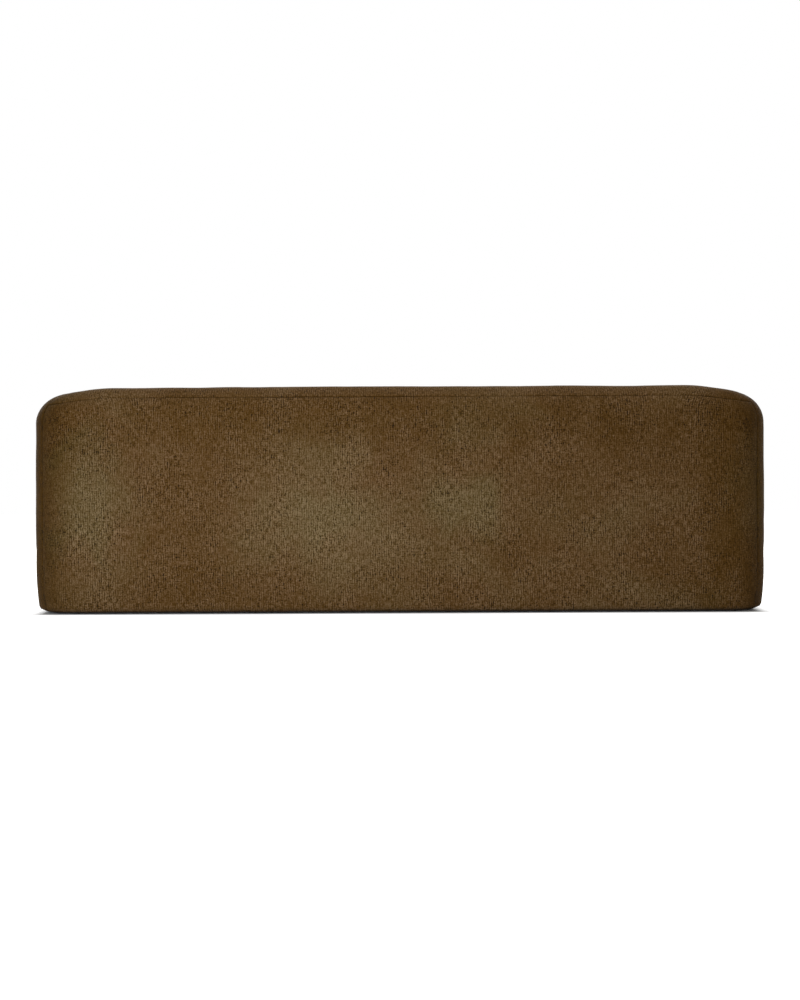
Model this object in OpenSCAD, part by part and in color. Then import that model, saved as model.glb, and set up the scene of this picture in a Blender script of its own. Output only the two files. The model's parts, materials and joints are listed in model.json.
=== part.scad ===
// Three-seater block sofa. One low wall of even height makes the arms and the back, with soft rounded
// corners, and three loose seat cushions and three loose back cushions lie inside it.
// Millimetres. +X runs along the seat, the sitter looks along -Y, and +Z is up. The origin is on the
// floor under the middle of the sofa, and "left" is the -X side.

/* [Overall] */
// Width over both arms
overall_w = 2300; // [1900:10:2700]
// Depth from the arm fronts to the outside back
overall_d = 950; // [860:5:1060]
// Height of the arms and back above the floor
overall_h = 705; // [660:5:780]

/* [Walls] */
// Thickness of an upholstered arm
arm_w = 210; // [180:5:260]
// Thickness of the upholstered back
back_t = 190; // [170:5:230]
// Plan radius of the two rear corners
rear_corner_r = 140; // [110:5:150]
// Plan radius of the upright edges at the arm fronts
front_corner_r = 76; // [72:1:90]
// Radius of the top edges
edge_r = 76; // [50:1:90]
// Radius of the edge next to the floor
hem_r = 12; // [8:1:18]

/* [Seat] */
// Height of the platform under the seat cushions
deck_h = 240; // [225:5:270]
// Thickness of a seat cushion at its seams
seat_t = 160; // [120:5:190]
// Rise of the middle of a seat cushion above its seams
seat_crown = 14; // [6:1:24]
// Depth of the nose that the seat front stands back behind the arm fronts
front_recess = 15; // [10:1:24]

/* [Back cushions] */
// Thickness of a back cushion at its lower edge
back_low_t = 185; // [150:5:210]
// Thickness of a back cushion at its upper edge
back_high_t = 140; // [110:5:160]
// Rise of the front of a back cushion beyond its seams
back_crown = 30; // [16:1:40]
// Drop from the top of the wall to the top of a back cushion
back_drop = 10; // [4:1:40]

/* [Springs] */
// Sinuous springs under each seat
springs_per_seat = 4; // [3:1:5]
// Half loops along one spring
spring_loops = 20; // [16:2:26]
// Spring wire diameter
spring_wire = 3.8; // [3:0.1:4.2]

/* [Layers] */
// Thickness of the cover fabric
cover_t = 1.5; // [1:0.1:2.5]
// Foam on the sides of the walls
side_foam_t = 25; // [20:1:30]
// Foam on top of the walls
top_foam_t = 60; // [45:1:70]
// Foam on the front border
border_foam_t = 12; // [8:1:16]

/* [Hidden] */
$fn = 64;
seats = 3;
// clearances between pieces that lie against each other
fit = 0.3;
cushion_gap = 1.5;
overrun = 5;

// floor glides and their screws
glide_h = 5;
glide_d = 40;
glide_seat_d = 12;
glide_seat_h = 2.5;
glide_screw_d = 4.5;
glide_screw_head_d = 9;
glide_screw_l = 18;
screw_slack = 0.2;

// heights that stack up from the floor
dust_t = 1;
hem_z = glide_h + dust_t;
frame_z = hem_z + cover_t;
rail_top_z = deck_h - 50;
tuck_z = rail_top_z + 10;
frame_top_z = overall_h - cover_t - fit - top_foam_t - fit;

// faces of the upholstered walls
half_w = overall_w/2;
rear_y = overall_d/2;
front_y = -overall_d/2;
arm_in_x = half_w - arm_w;
back_in_y = rear_y - back_t;
border_y = front_y + front_recess;
lip_w = 40;
front_turn_r = max(front_corner_r, edge_r);

// faces of the frame inside the foam
foam_in = cover_t + fit;
frame_in = foam_in + side_foam_t + fit;
frame_out_x = half_w - frame_in;
frame_arm_x = arm_in_x + frame_in;
frame_rear_y = rear_y - frame_in;
frame_front_y = front_y + frame_in;
frame_corner_r = rear_corner_r - frame_in;
corner_x = half_w - rear_corner_r;
corner_y = rear_y - rear_corner_r;
inner_reach_x = max(corner_x, arm_in_x + edge_r);
inner_reach_y = max(corner_y, back_in_y + edge_r);

// sheet and timber sizes
skin_board_t = 3;
panel_t = 12;
panel_past_corner = max(0, frame_arm_x + panel_t - corner_x);
board_t = 15;
rib_t = 18;
rail_t = 28;
rail_h = 60;
post_w = 45;
webbing_t = 1.5;
webbing_w = 50;
webbing_overlap = 45;
straps_per_seat = 3;
back_frame_y = back_in_y + frame_in + webbing_t;
back_frame_rear_y = frame_rear_y - skin_board_t;
board_top_z = frame_top_z - board_t;
rib_count = 5;
rib_window_r = 32;
rib_window_gap = 34;
former_count = 3;

// seat base
base_front_y = border_y + foam_in + border_foam_t + fit;
base_rear_y = back_frame_y;
cross_rail_drop = 60;
block_leg = 90;
block_h = 70;
block_z = frame_z + 55;
bolt_d = 8;
bolt_hole_d = 9;
bolt_head_d = 16;
bolt_head_h = 5;
bolt_hex_d = 6;
bolt_hex_depth = 3;
washer_d = 24;
washer_t = 1.6;
tee_nut_d = 20;
tee_nut_t = 1.5;
tee_nut_barrel_d = 10.5;
tee_nut_barrel_l = 9;
tee_nut_hole_d = 11;
bolt_z = frame_z + 110;
bolt_y_shares = [0.2, 0.5, 0.8];

// springs, their clips and the layers over them
clip_t = 1.5;
clip_w = 22;
clip_l = 24;
clip_nail_d = 2.6;
spring_leg = 30;
spring_z = rail_top_z + clip_t + spring_wire/2;
spring_grid = 0.1;
spring_front_y = base_front_y + rail_t/2;
spring_pitch = spring_grid*round((base_rear_y - rail_t/2 - spring_front_y)/spring_loops/spring_grid);
spring_rear_y = spring_front_y + spring_loops*spring_pitch;
tie_d = 3;
tie_gap = 0.1;
tie_shares = [0.34, 0.66];
tie_z = spring_z + spring_wire/2 + tie_gap + tie_d/2;
felt_t = 4;
felt_z = tie_z + tie_d/2 + fit;
pad_z = felt_z + felt_t;
pad_top_z = deck_h - cover_t - fit;
border_edge_r = 18;
border_lip_l = 120;

// seams of the carcass cover
top_seam_drop = 35;
corner_seam = 1;
seam_z = overall_h - top_seam_drop;

// loose cushions
seat_w = (2*arm_in_x - (seats + 1)*cushion_gap)/seats;
cushion_pull = 6;
cushion_corner_in = 12;
cushion_edge = 13;
seat_bulge = 4;
seat_front_gap = 6;
seat_front_y = front_y + seat_front_gap;
seat_d = back_in_y - cushion_gap - seat_front_y;
seat_z = deck_h + fit;
core_inset = 24;
core_clear = fit;
back_z = seat_z + seat_t + fit;
back_cushion_h = overall_h - back_drop - back_z;
back_bulge = 5;
outer_cells = 10;
inner_cells = 6;

// cover, timber and metal colours
cloth = "#58432a";
cloth_dark = "#4a3823";
foam_colour = "#e9dfb8";
fibre_colour = "#f4f2ec";
pine = "#d9b98a";
plywood = "#c79f6b";
board_colour = "#8b6a45";
black_cloth = "#232323";
steel = "#9a9da1";
zinc = "#c9ccd0";
felt_colour = "#8d8f90";
strap_colour = "#3a3a3c";
plastic = "#1d1d1f";

// Extrusions that keep a section's second axis upright

// Section's first axis runs along +X, and the solid reaches from y0 to y1.
module along_y(y0, y1)
    translate([0, y1, 0]) rotate([90, 0, 0]) linear_extrude(y1 - y0) children();

// Section's first axis runs along -Y from the rear face, and the solid reaches from x0 to x1.
module along_x_from_rear(x0, x1)
    translate([x1, rear_y, 0]) rotate([90, 0, -90]) linear_extrude(x1 - x0) children();

// Section's first axis runs along +Y from y = 0, and the solid reaches from x0 to x1.
module along_x(x0, x1)
    translate([x0, 0, 0]) rotate([90, 0, 90]) linear_extrude(x1 - x0) children();

module box(low, high)
    translate(low) cube(high - low);

module pair()
    for (side = [0, 1]) mirror([side, 0, 0]) children();

// The upholstered wall

// Upright section of a wall that is round on its top edges and at the hem of its outer face. Its
// first axis starts on the outer face. inset shrinks it evenly, for the layers inside the cover.
module wall_section(width, inset, low_z) {
    top = overall_h - inset;
    r = edge_r - inset;
    hem = hem_r - inset;
    translate([inset + hem, low_z]) square([width - 2*inset - hem, top - r - low_z]);
    translate([inset, low_z + hem]) square([width - 2*inset, top - r - low_z - hem]);
    translate([inset + r, top - r]) square([width - 2*inset - 2*r, r]);
    translate([inset + hem, low_z + hem]) circle(hem);
    for (x = [inset + r, width - inset - r]) translate([x, top - r]) circle(r);
}

// The outer part of that section, as deep as a corner's radius and flat on its inner side.
module edge_section(depth, inset, low_z)
    intersection() {
        wall_section(2*depth + edge_r, inset, low_z);
        square([depth, overall_h]);
    }

// The inner part of a wall's section, past the middle of the rear corner. Where the top edges are wide, it
// runs on into the other wall, so that they meet in a valley.
module inner_section(width, inset, low_z)
    intersection() {
        wall_section(width, inset, low_z);
        translate([rear_corner_r, 0]) square([width, overall_h]);
    }

// A quarter turn of the edge section about the middle of a corner, from the direction start.
module corner_turn(r, start, inset, low_z)
    rotate([0, 0, start]) rotate_extrude(angle = 90)
        translate([r, 0]) mirror([1, 0]) edge_section(r, inset, low_z);

// The left arm, with the rear corner that it shares with the back.
module arm_block(inset, low_z) {
    along_y(front_y + front_turn_r, corner_y)
        translate([-half_w, 0]) wall_section(arm_w, inset, low_z);
    if (inner_reach_y > corner_y)
        along_y(corner_y, inner_reach_y) translate([-half_w, 0]) inner_section(arm_w, inset, low_z);
    translate([-corner_x, corner_y, 0]) corner_turn(rear_corner_r, 90, inset, low_z);
    translate([-half_w + front_turn_r, front_y + front_turn_r, 0])
        corner_turn(front_turn_r, 180, inset, low_z);
    translate([-arm_in_x - front_turn_r, front_y + front_turn_r, 0])
        corner_turn(front_turn_r, 270, inset, low_z);
    along_x(-half_w + front_turn_r, -arm_in_x - front_turn_r)
        translate([front_y, 0]) edge_section(front_turn_r, inset, low_z);
}

module back_block(inset, low_z) {
    along_x_from_rear(-corner_x, corner_x) wall_section(back_t, inset, low_z);
    if (inner_reach_x > corner_x)
        pair() along_x_from_rear(corner_x, inner_reach_x) inner_section(back_t, inset, low_z);
}

module carcass(inset, low_z) {
    back_block(inset, low_z);
    pair() arm_block(inset, low_z);
}

// Plan of the whole wall, filled in between the arms, shrunk by inset.
module plan_outline(inset) {
    rear_r = rear_corner_r - inset;
    front_r = front_turn_r - inset;
    translate([-corner_x, front_y + inset + front_r])
        square([2*corner_x, rear_y - front_y - 2*inset - front_r]);
    translate([-half_w + inset, front_y + front_turn_r])
        square([2*(half_w - inset), corner_y - front_y - front_turn_r]);
    translate([-half_w + front_turn_r, front_y + inset]) square([2*(half_w - front_turn_r), front_r]);
    for (side = [-1, 1]) {
        translate([side*corner_x, corner_y]) circle(rear_r);
        translate([side*(half_w - front_turn_r), front_y + front_turn_r]) circle(front_r);
    }
}

// The space between the arms below the tuck, where the seat base meets the frames of arms and back, and
// where cover and foam are cut away for it.
module base_space(inset)
    box([-arm_in_x - inset, base_front_y - fit, hem_z - overrun],
        [arm_in_x + inset, back_in_y + inset, tuck_z]);

// Half of the plan of the back's mitre seam. It starts on the arm, turns near the middle of the rounded
// rear corner and runs out through it. It keeps a little off the inner corner and off that middle.
mitre_turn = [corner_x - corner_seam, corner_y + corner_seam];
mitre_points = [[arm_in_x, back_in_y - corner_seam], mitre_turn, mitre_turn + rear_corner_r*[1, 1]];

// The back between its mitre seams, or only the part behind their turns.
module back_region(behind, low_z, high_z) {
    half = behind ? [mitre_points[1], mitre_points[2]] : mitre_points;
    translate([0, 0, low_z]) linear_extrude(high_z - low_z)
        polygon(concat(half, [for (i = [len(half) - 1 : -1 : 0]) [-half[i][0], half[i][1]]]));
}

module carcass_shell()
    difference() {
        carcass(0, hem_z);
        carcass(cover_t, hem_z + cover_t);
        translate([0, 0, hem_z - overrun]) linear_extrude(2*overrun) plan_outline(lip_w);
        base_space(frame_in + fit);
    }

module outside_back_cover()
    color(cloth) intersection() {
        carcass_shell();
        back_region(true, 0, seam_z);
    }

// The inside of the back, and its top as far as the seam below the outer top edge.
module back_cover()
    color(cloth) difference() {
        intersection() {
            carcass_shell();
            back_region(false, tuck_z, overall_h + overrun);
        }
        box([-half_w, mitre_turn[1], 0], [half_w, rear_y + overrun, seam_z]);
    }

module left_arm_cover()
    color(cloth) difference() {
        intersection() {
            carcass_shell();
            box([-half_w - overrun, front_y - overrun, 0],
                [-arm_in_x + overrun, rear_y + overrun, overall_h + overrun]);
        }
        back_region(false, 0, overall_h + overrun);
    }

// Foam on the walls

// The frame's own space inside the foam.
module frame_space() {
    top = frame_top_z + fit;
    pair() {
        box([-frame_out_x, frame_front_y, 0], [-frame_arm_x, corner_y, top]);
        translate([-corner_x, corner_y, 0]) cylinder(r = frame_corner_r, h = top);
    }
    box([-corner_x, back_in_y + frame_in, 0], [corner_x, frame_rear_y, top]);
    base_space(frame_in + overrun);
}

module wall_foam()
    difference() {
        carcass(foam_in, frame_z + fit);
        frame_space();
    }

module back_foam()
    color(foam_colour) intersection() {
        wall_foam();
        box([-frame_arm_x, back_in_y, 0], [frame_arm_x, rear_y, overall_h]);
    }

module left_arm_foam()
    color(foam_colour) difference() {
        wall_foam();
        box([-frame_arm_x, back_in_y, 0], [half_w, rear_y, overall_h]);
        box([0, front_y, 0], [half_w, rear_y, overall_h]);
    }

// Front border and seat platform

// Section of the border from the front rail up over the seat's front edge; its first axis is Y.
module border_section(inset, low_z) {
    front = border_y + inset;
    top = deck_h - inset;
    r = border_edge_r - inset;
    hem = hem_r - inset;
    back = border_y + border_lip_l;
    translate([front + r, low_z]) square([back - front - r, top - low_z]);
    translate([front, low_z + hem]) square([r, top - r - low_z - hem]);
    translate([front + hem, low_z]) square([r, hem]);
    translate([front + hem, low_z + hem]) circle(hem);
    translate([front + r, top - r]) circle(r);
}

// The border between the arms, cut to the round of their inner front edges.
module between_arms()
    difference() {
        children();
        pair() arm_block(-fit, 0);
    }

module front_border_cover()
    color(cloth) between_arms() along_x(-arm_in_x - front_turn_r, arm_in_x + front_turn_r)
        difference() {
            border_section(0, hem_z);
            border_section(cover_t, hem_z + cover_t);
            translate([border_y + lip_w, hem_z - overrun]) square([border_lip_l, deck_h - hem_z - cover_t]);
        }

module front_border_foam()
    color(foam_colour) between_arms() along_x(-arm_in_x - front_turn_r, arm_in_x + front_turn_r)
        difference() {
            intersection() {
                border_section(foam_in, frame_z + fit);
                translate([border_y, frame_z]) square([base_front_y + rail_t - border_y, deck_h]);
            }
            translate([base_front_y - fit, 0]) square([rail_t + fit + overrun, tuck_z]);
        }

module deck_cover()
    color(cloth_dark) box([-arm_in_x + fit, border_y + border_lip_l, deck_h - cover_t],
                          [arm_in_x - fit, back_in_y - fit, deck_h]);

module deck_pad()
    color(foam_colour) box([-arm_in_x + fit, base_front_y + rail_t + fit, pad_z],
                           [arm_in_x - fit, back_in_y - fit, pad_top_z]);

module insulator_felt()
    color(felt_colour) box([-arm_in_x + fit, base_front_y + rail_t + fit, felt_z],
                           [arm_in_x - fit, back_in_y - fit, pad_z]);

// Springs

spring_count = seats*springs_per_seat;
function spring_x(i) = -arm_in_x + (i + 0.5)*2*arm_in_x/spring_count;

// One sinuous spring: straight legs across the seat, joined by half loops on alternate sides.
module sinuous_spring()
    for (i = [0 : spring_loops]) {
        side = i % 2 == 0 ? 1 : -1;
        translate([-spring_leg/2, i*spring_pitch, 0]) rotate([0, 90, 0])
            cylinder(d = spring_wire, h = spring_leg);
        if (i < spring_loops)
            translate([side*spring_leg/2, (i + 0.5)*spring_pitch, 0]) rotate([0, 0, -side*90])
                rotate_extrude(angle = 180) translate([spring_pitch/2, 0]) circle(d = spring_wire);
    }

module seat_springs(seat)
    color(steel) for (i = [0 : springs_per_seat - 1])
        translate([spring_x(seat*springs_per_seat + i), spring_front_y, spring_z]) sinuous_spring();

// Section of a clip: a plate on the rail that curls up and back over the spring's end leg.
module clip_section() {
    curl_r = spring_wire/2 + clip_t;
    translate([-clip_l/2, 0]) square([clip_l, clip_t - tie_gap]);
    difference() {
        translate([0, curl_r]) circle(curl_r - tie_gap);
        translate([0, curl_r]) circle(spring_wire/2 + tie_gap);
        translate([0, clip_t - tie_gap]) square([clip_l, spring_wire]);
    }
}

module spring_clips()
    color(zinc) for (i = [0 : spring_count - 1], end = [0, 1])
        translate([spring_x(i), end == 0 ? spring_front_y : spring_rear_y, rail_top_z])
            mirror([0, end, 0]) difference() {
                along_x(-clip_w/2, clip_w/2) mirror([1, 0]) clip_section();
                for (side = [-1, 1])
                    translate([side*clip_w/4, clip_l/2 - clip_nail_d, -overrun])
                        cylinder(d = clip_nail_d, h = 2*overrun);
            }

module spring_tie_wires()
    color(steel) for (share = tie_shares)
        translate([-frame_arm_x + rail_t, spring_front_y + share*(spring_rear_y - spring_front_y), tie_z])
            rotate([0, 90, 0]) cylinder(d = tie_d, h = 2*(frame_arm_x - rail_t));

// Seat base

// Places of the glides: one under each arm end and two under the front and rear of the seat base.
arm_glide_x = (frame_arm_x + frame_out_x)/2;
arm_glide_in = 70;
glide_places = [
    for (side = [-1, 1]) [side*arm_glide_x, frame_front_y + arm_glide_in],
    for (side = [-1, 1]) [side*(frame_arm_x + glide_d), frame_rear_y - arm_glide_in],
    for (side = [-1, 1]) [side*arm_in_x/seats, base_front_y + rail_t + glide_d/2],
    for (side = [-1, 1]) [side*arm_in_x/seats, base_rear_y - rail_t - glide_d/2]
];

module at_glides()
    for (p = glide_places) translate([p[0], p[1], 0]) children();

module glide_screw_holes()
    at_glides() translate([0, 0, -overrun])
        cylinder(d = glide_screw_d + screw_slack, h = glide_h + glide_screw_l + 2*overrun);

module base_front_rail()
    color(pine) box([-frame_arm_x, base_front_y, frame_z], [frame_arm_x, base_front_y + rail_t, rail_top_z]);

module base_rear_rail()
    color(pine) box([-frame_arm_x, base_rear_y - rail_t, frame_z], [frame_arm_x, base_rear_y, rail_top_z]);

function bolt_y(share) = base_front_y + rail_t + share*(base_rear_y - base_front_y - 2*rail_t);

// Places of the bolts that hold the left arm to the seat base. Each child points along -X.
module at_left_bolts()
    for (share = bolt_y_shares)
        translate([-frame_arm_x + rail_t, bolt_y(share), bolt_z]) rotate([0, -90, 0]) children();

module base_end_rails()
    color(pine) pair() difference() {
        box([-frame_arm_x, base_front_y + rail_t, frame_z],
            [-frame_arm_x + rail_t, base_rear_y - rail_t, rail_top_z]);
        at_left_bolts() translate([0, 0, -overrun]) cylinder(d = bolt_hole_d, h = rail_t + 2*overrun);
    }

// The two rails under the joints between the seats. Each widens into a foot block at its ends for a glide.
module base_cross_rails()
    color(pine) difference() {
        pair() {
            box([-arm_in_x/seats - rail_t/2, base_front_y + rail_t, frame_z],
                [-arm_in_x/seats + rail_t/2, base_rear_y - rail_t, rail_top_z - cross_rail_drop]);
            for (y = [base_front_y + rail_t, base_rear_y - rail_t - glide_d])
                box([-arm_in_x/seats - glide_d/2, y, frame_z],
                    [-arm_in_x/seats + glide_d/2, y + glide_d, frame_z + rail_h]);
        }
        glide_screw_holes();
    }

// Glued blocks in the four inner corners of the seat base.
module corner_blocks()
    color(pine) pair() for (rear = [0, 1])
        translate([-frame_arm_x + rail_t, rear ? base_rear_y - rail_t : base_front_y + rail_t, block_z])
            mirror([0, rear, 0]) linear_extrude(block_h)
                polygon([[0, 0], [block_leg, 0], [0, block_leg]]);

// A low-headed bolt with a hexagon socket, its washer and, across the joint, its tee nut.
module arm_bolts() {
    grip = rail_t + panel_t;
    color(zinc) pair() at_left_bolts() {
        difference() {
            union() {
                translate([0, 0, -washer_t - bolt_head_h]) cylinder(d = bolt_head_d, h = bolt_head_h);
                translate([0, 0, -washer_t]) cylinder(d = bolt_d, h = washer_t + grip);
            }
            translate([0, 0, -washer_t - bolt_head_h]) cylinder(d = bolt_hex_d, h = bolt_hex_depth, $fn = 6);
        }
        translate([0, 0, -washer_t]) difference() {
            cylinder(d = washer_d, h = washer_t);
            translate([0, 0, -overrun]) cylinder(d = bolt_hole_d, h = washer_t + 2*overrun);
        }
    }
}

module arm_tee_nuts()
    color(zinc) pair() at_left_bolts() translate([0, 0, rail_t + panel_t]) difference() {
        union() {
            cylinder(d = tee_nut_d, h = tee_nut_t);
            translate([0, 0, -tee_nut_barrel_l]) cylinder(d = tee_nut_barrel_d, h = tee_nut_barrel_l);
        }
        translate([0, 0, -tee_nut_barrel_l - overrun])
            cylinder(d = bolt_d + screw_slack, h = tee_nut_barrel_l + tee_nut_t + 2*overrun);
    }

module floor_glides()
    color(plastic) at_glides() difference() {
        union() {
            cylinder(d1 = glide_d - glide_h, d2 = glide_d, h = glide_h/2);
            translate([0, 0, glide_h/2]) cylinder(d = glide_d, h = glide_h/2);
        }
        translate([0, 0, -overrun]) cylinder(d = glide_screw_d + screw_slack, h = glide_h + 2*overrun);
        translate([0, 0, -overrun]) cylinder(d = glide_seat_d, h = glide_seat_h + overrun);
    }

module glide_screws()
    color(zinc) at_glides() translate([0, 0, glide_seat_h]) {
        translate([0, 0, -glide_seat_h/2]) cylinder(d = glide_screw_head_d, h = glide_seat_h/2);
        cylinder(d = glide_screw_d, h = glide_screw_l);
    }

module dust_cover()
    color(black_cloth) difference() {
        translate([0, 0, glide_h]) linear_extrude(dust_t) difference() {
            plan_outline(lip_w/4);
            translate([-arm_in_x - front_turn_r/2, front_y])
                square([2*arm_in_x + front_turn_r, front_recess + lip_w/4]);
        }
        glide_screw_holes();
    }

// Back frame

rail_places = [
    [back_frame_y, board_top_z - rail_h],
    [back_frame_rear_y - rail_t, board_top_z - rail_h],
    [back_frame_y, tuck_z],
    [back_frame_rear_y - rail_t, frame_z],
    [back_frame_y, frame_z]
];

function rib_x(i) = -frame_arm_x + rib_t/2 + i*(2*frame_arm_x - rib_t)/(rib_count - 1);

// A plywood rib of the back, notched for its five rails and pierced by two round-ended windows.
module back_rib() {
    depth = back_frame_rear_y - back_frame_y;
    middle = (back_frame_y + back_frame_rear_y)/2;
    along_x(-rib_t/2, rib_t/2) difference() {
        translate([back_frame_y, frame_z]) square([depth, board_top_z - frame_z]);
        for (p = rail_places) translate([p[0] - fit, p[1] - fit]) square([rail_t + 2*fit, rail_h + 2*fit]);
        for (span = [
            [frame_z + rail_h + rib_window_gap, tuck_z],
            [tuck_z + rail_h + rib_window_gap, board_top_z - rail_h - rib_window_gap]
        ]) {
            r = min(rib_window_r, (span[1] - span[0])/2);
            translate([middle - r, span[0] + r]) square([2*r, span[1] - span[0] - 2*r]);
            for (z = [span[0] + r, span[1] - r]) translate([middle, z]) circle(r);
        }
    }
}

module back_ribs()
    color(plywood) for (i = [0 : rib_count - 1]) translate([rib_x(i), 0, 0]) back_rib();

module back_rails()
    color(pine) for (p = rail_places)
        box([-frame_arm_x, p[0], p[1]], [frame_arm_x, p[0] + rail_t, p[1] + rail_h]);

module back_top_board()
    color(plywood) box([-frame_arm_x, back_frame_y, board_top_z],
                       [frame_arm_x, back_frame_rear_y, frame_top_z]);

module back_outer_board()
    color(board_colour) box([-frame_arm_x, back_frame_rear_y, frame_z],
                            [frame_arm_x, frame_rear_y, frame_top_z]);

// Upright elastic straps from the top rail to the tuck rail on the seat side of the back.
module back_webbing() {
    count = seats*straps_per_seat;
    color(strap_colour) for (i = [0 : count - 1])
        translate([-arm_in_x + (i + 0.5)*2*arm_in_x/count, 0, 0])
            box([-webbing_w/2, back_frame_y - webbing_t, tuck_z + rail_h - webbing_overlap],
                [webbing_w/2, back_frame_y, board_top_z - rail_h + webbing_overlap]);
}

// Left arm frame

// Plan of the arm frame up to its outer board's inner face, or its outer face with outset = skin_board_t.
module arm_frame_plan(outset) {
    x = frame_out_x - skin_board_t + outset;
    translate([-x, frame_front_y]) square([x - frame_arm_x, corner_y - frame_front_y]);
    translate([-corner_x, frame_front_y])
        square([corner_x - frame_arm_x, frame_rear_y - skin_board_t + outset - frame_front_y]);
    intersection() {
        translate([-corner_x, corner_y]) circle(frame_corner_r - skin_board_t + outset);
        translate([-x, corner_y]) square([x - corner_x, frame_rear_y - corner_y]);
    }
}

// Thin bent board round the outside of the arm and its rear corner.
module left_arm_outer_board()
    color(board_colour) translate([0, 0, frame_z]) linear_extrude(frame_top_z - frame_z) difference() {
        arm_frame_plan(skin_board_t);
        arm_frame_plan(0);
    }

module left_arm_end_boards()
    color(plywood) difference() {
        for (z = [frame_z, board_top_z]) translate([0, 0, z]) linear_extrude(board_t) arm_frame_plan(0);
        glide_screw_holes();
    }

// Its rear end stops at the bent board, also where a narrow arm brings the bend behind it.
module left_arm_inner_panel() {
    r = frame_corner_r - skin_board_t;
    rear_end = corner_y + sqrt(r*r - pow(panel_past_corner, 2));
    color(plywood) difference() {
        box([-frame_arm_x - panel_t, frame_front_y + panel_t, frame_z + board_t],
            [-frame_arm_x, rear_end, board_top_z]);
        at_left_bolts() cylinder(d = tee_nut_hole_d, h = rail_t + panel_t + overrun);
    }
}

module left_arm_front_panel()
    color(plywood) box([-frame_out_x + skin_board_t, frame_front_y, frame_z + board_t],
                       [-frame_arm_x, frame_front_y + panel_t, board_top_z]);

// Where the rear post stands, between the inner panel and the bent board behind it.
module rear_post_space(clear)
    translate([-frame_arm_x - panel_t - post_w - clear, frame_rear_y - skin_board_t - post_w - clear])
        square([post_w + clear, post_w + skin_board_t + clear]);

// Three posts against the outer board, and a rear post shaped to the bent one.
module left_arm_posts() {
    outer_x = -frame_out_x + skin_board_t;
    first_y = frame_front_y + panel_t;
    last_y = corner_y - post_w;
    color(pine) {
        for (y = [first_y, (first_y + last_y)/2, last_y])
            box([outer_x, y, frame_z + board_t], [outer_x + post_w, y + post_w, board_top_z]);
        translate([0, 0, frame_z + board_t]) linear_extrude(board_top_z - frame_z - board_t)
            intersection() {
                arm_frame_plan(0);
                rear_post_space(0);
            }
    }
}

// Quarter-round plywood formers that carry the bent board round the corner, notched for the rear post.
module left_arm_formers() {
    r = frame_corner_r - skin_board_t;
    step = (board_top_z - frame_z)/(former_count + 1);
    color(plywood) for (i = [1 : former_count])
        translate([0, 0, frame_z + i*step]) linear_extrude(rib_t) difference() {
            intersection() {
                translate([-corner_x, corner_y]) circle(r);
                translate([-corner_x - r, corner_y]) square([r - panel_past_corner - fit, r]);
            }
            rear_post_space(fit);
        }
}

// Loose cushions

function mix(a, b, share) = a + (b - a)*share;
// Grid stations from -1 to 1, closer together towards the edges.
function station(i, n) = sin(90*(2*i/n - 1));
// The k-th grid place round the edge of an n by n grid.
function edge_place(k, n) =
    k < n ? [k, 0] : k < 2*n ? [n, k - n] : k < 3*n ? [3*n - k, n] : [0, 4*n - k];
// Plan point of a cushion whose sides draw in between soft corners.
function cushion_plan(u, v, a, b) = [
    u*(a - cushion_pull*(1 - v*v)*u*u - cushion_corner_in*pow(u*v, 6)),
    v*(b - cushion_pull*(1 - u*u)*v*v - cushion_corner_in*pow(u*v, 6))
];
// The least that the sides draw in, which is between the middle of a side and its corners.
draw_u2 = sqrt(cushion_pull/(3*cushion_corner_in));
least_draw = cushion_pull*(1 - draw_u2) + cushion_corner_in*pow(draw_u2, 3);
// Rise of the face, from the -Y edge to the station v_end, past which it lies flat.
function dome(u, v, v_end) =
    let (s = min(1, 2*(v + 1)/(v_end + 1) - 1)) (1 - pow(u, 4))*(1 - pow(s, 4));

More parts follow.
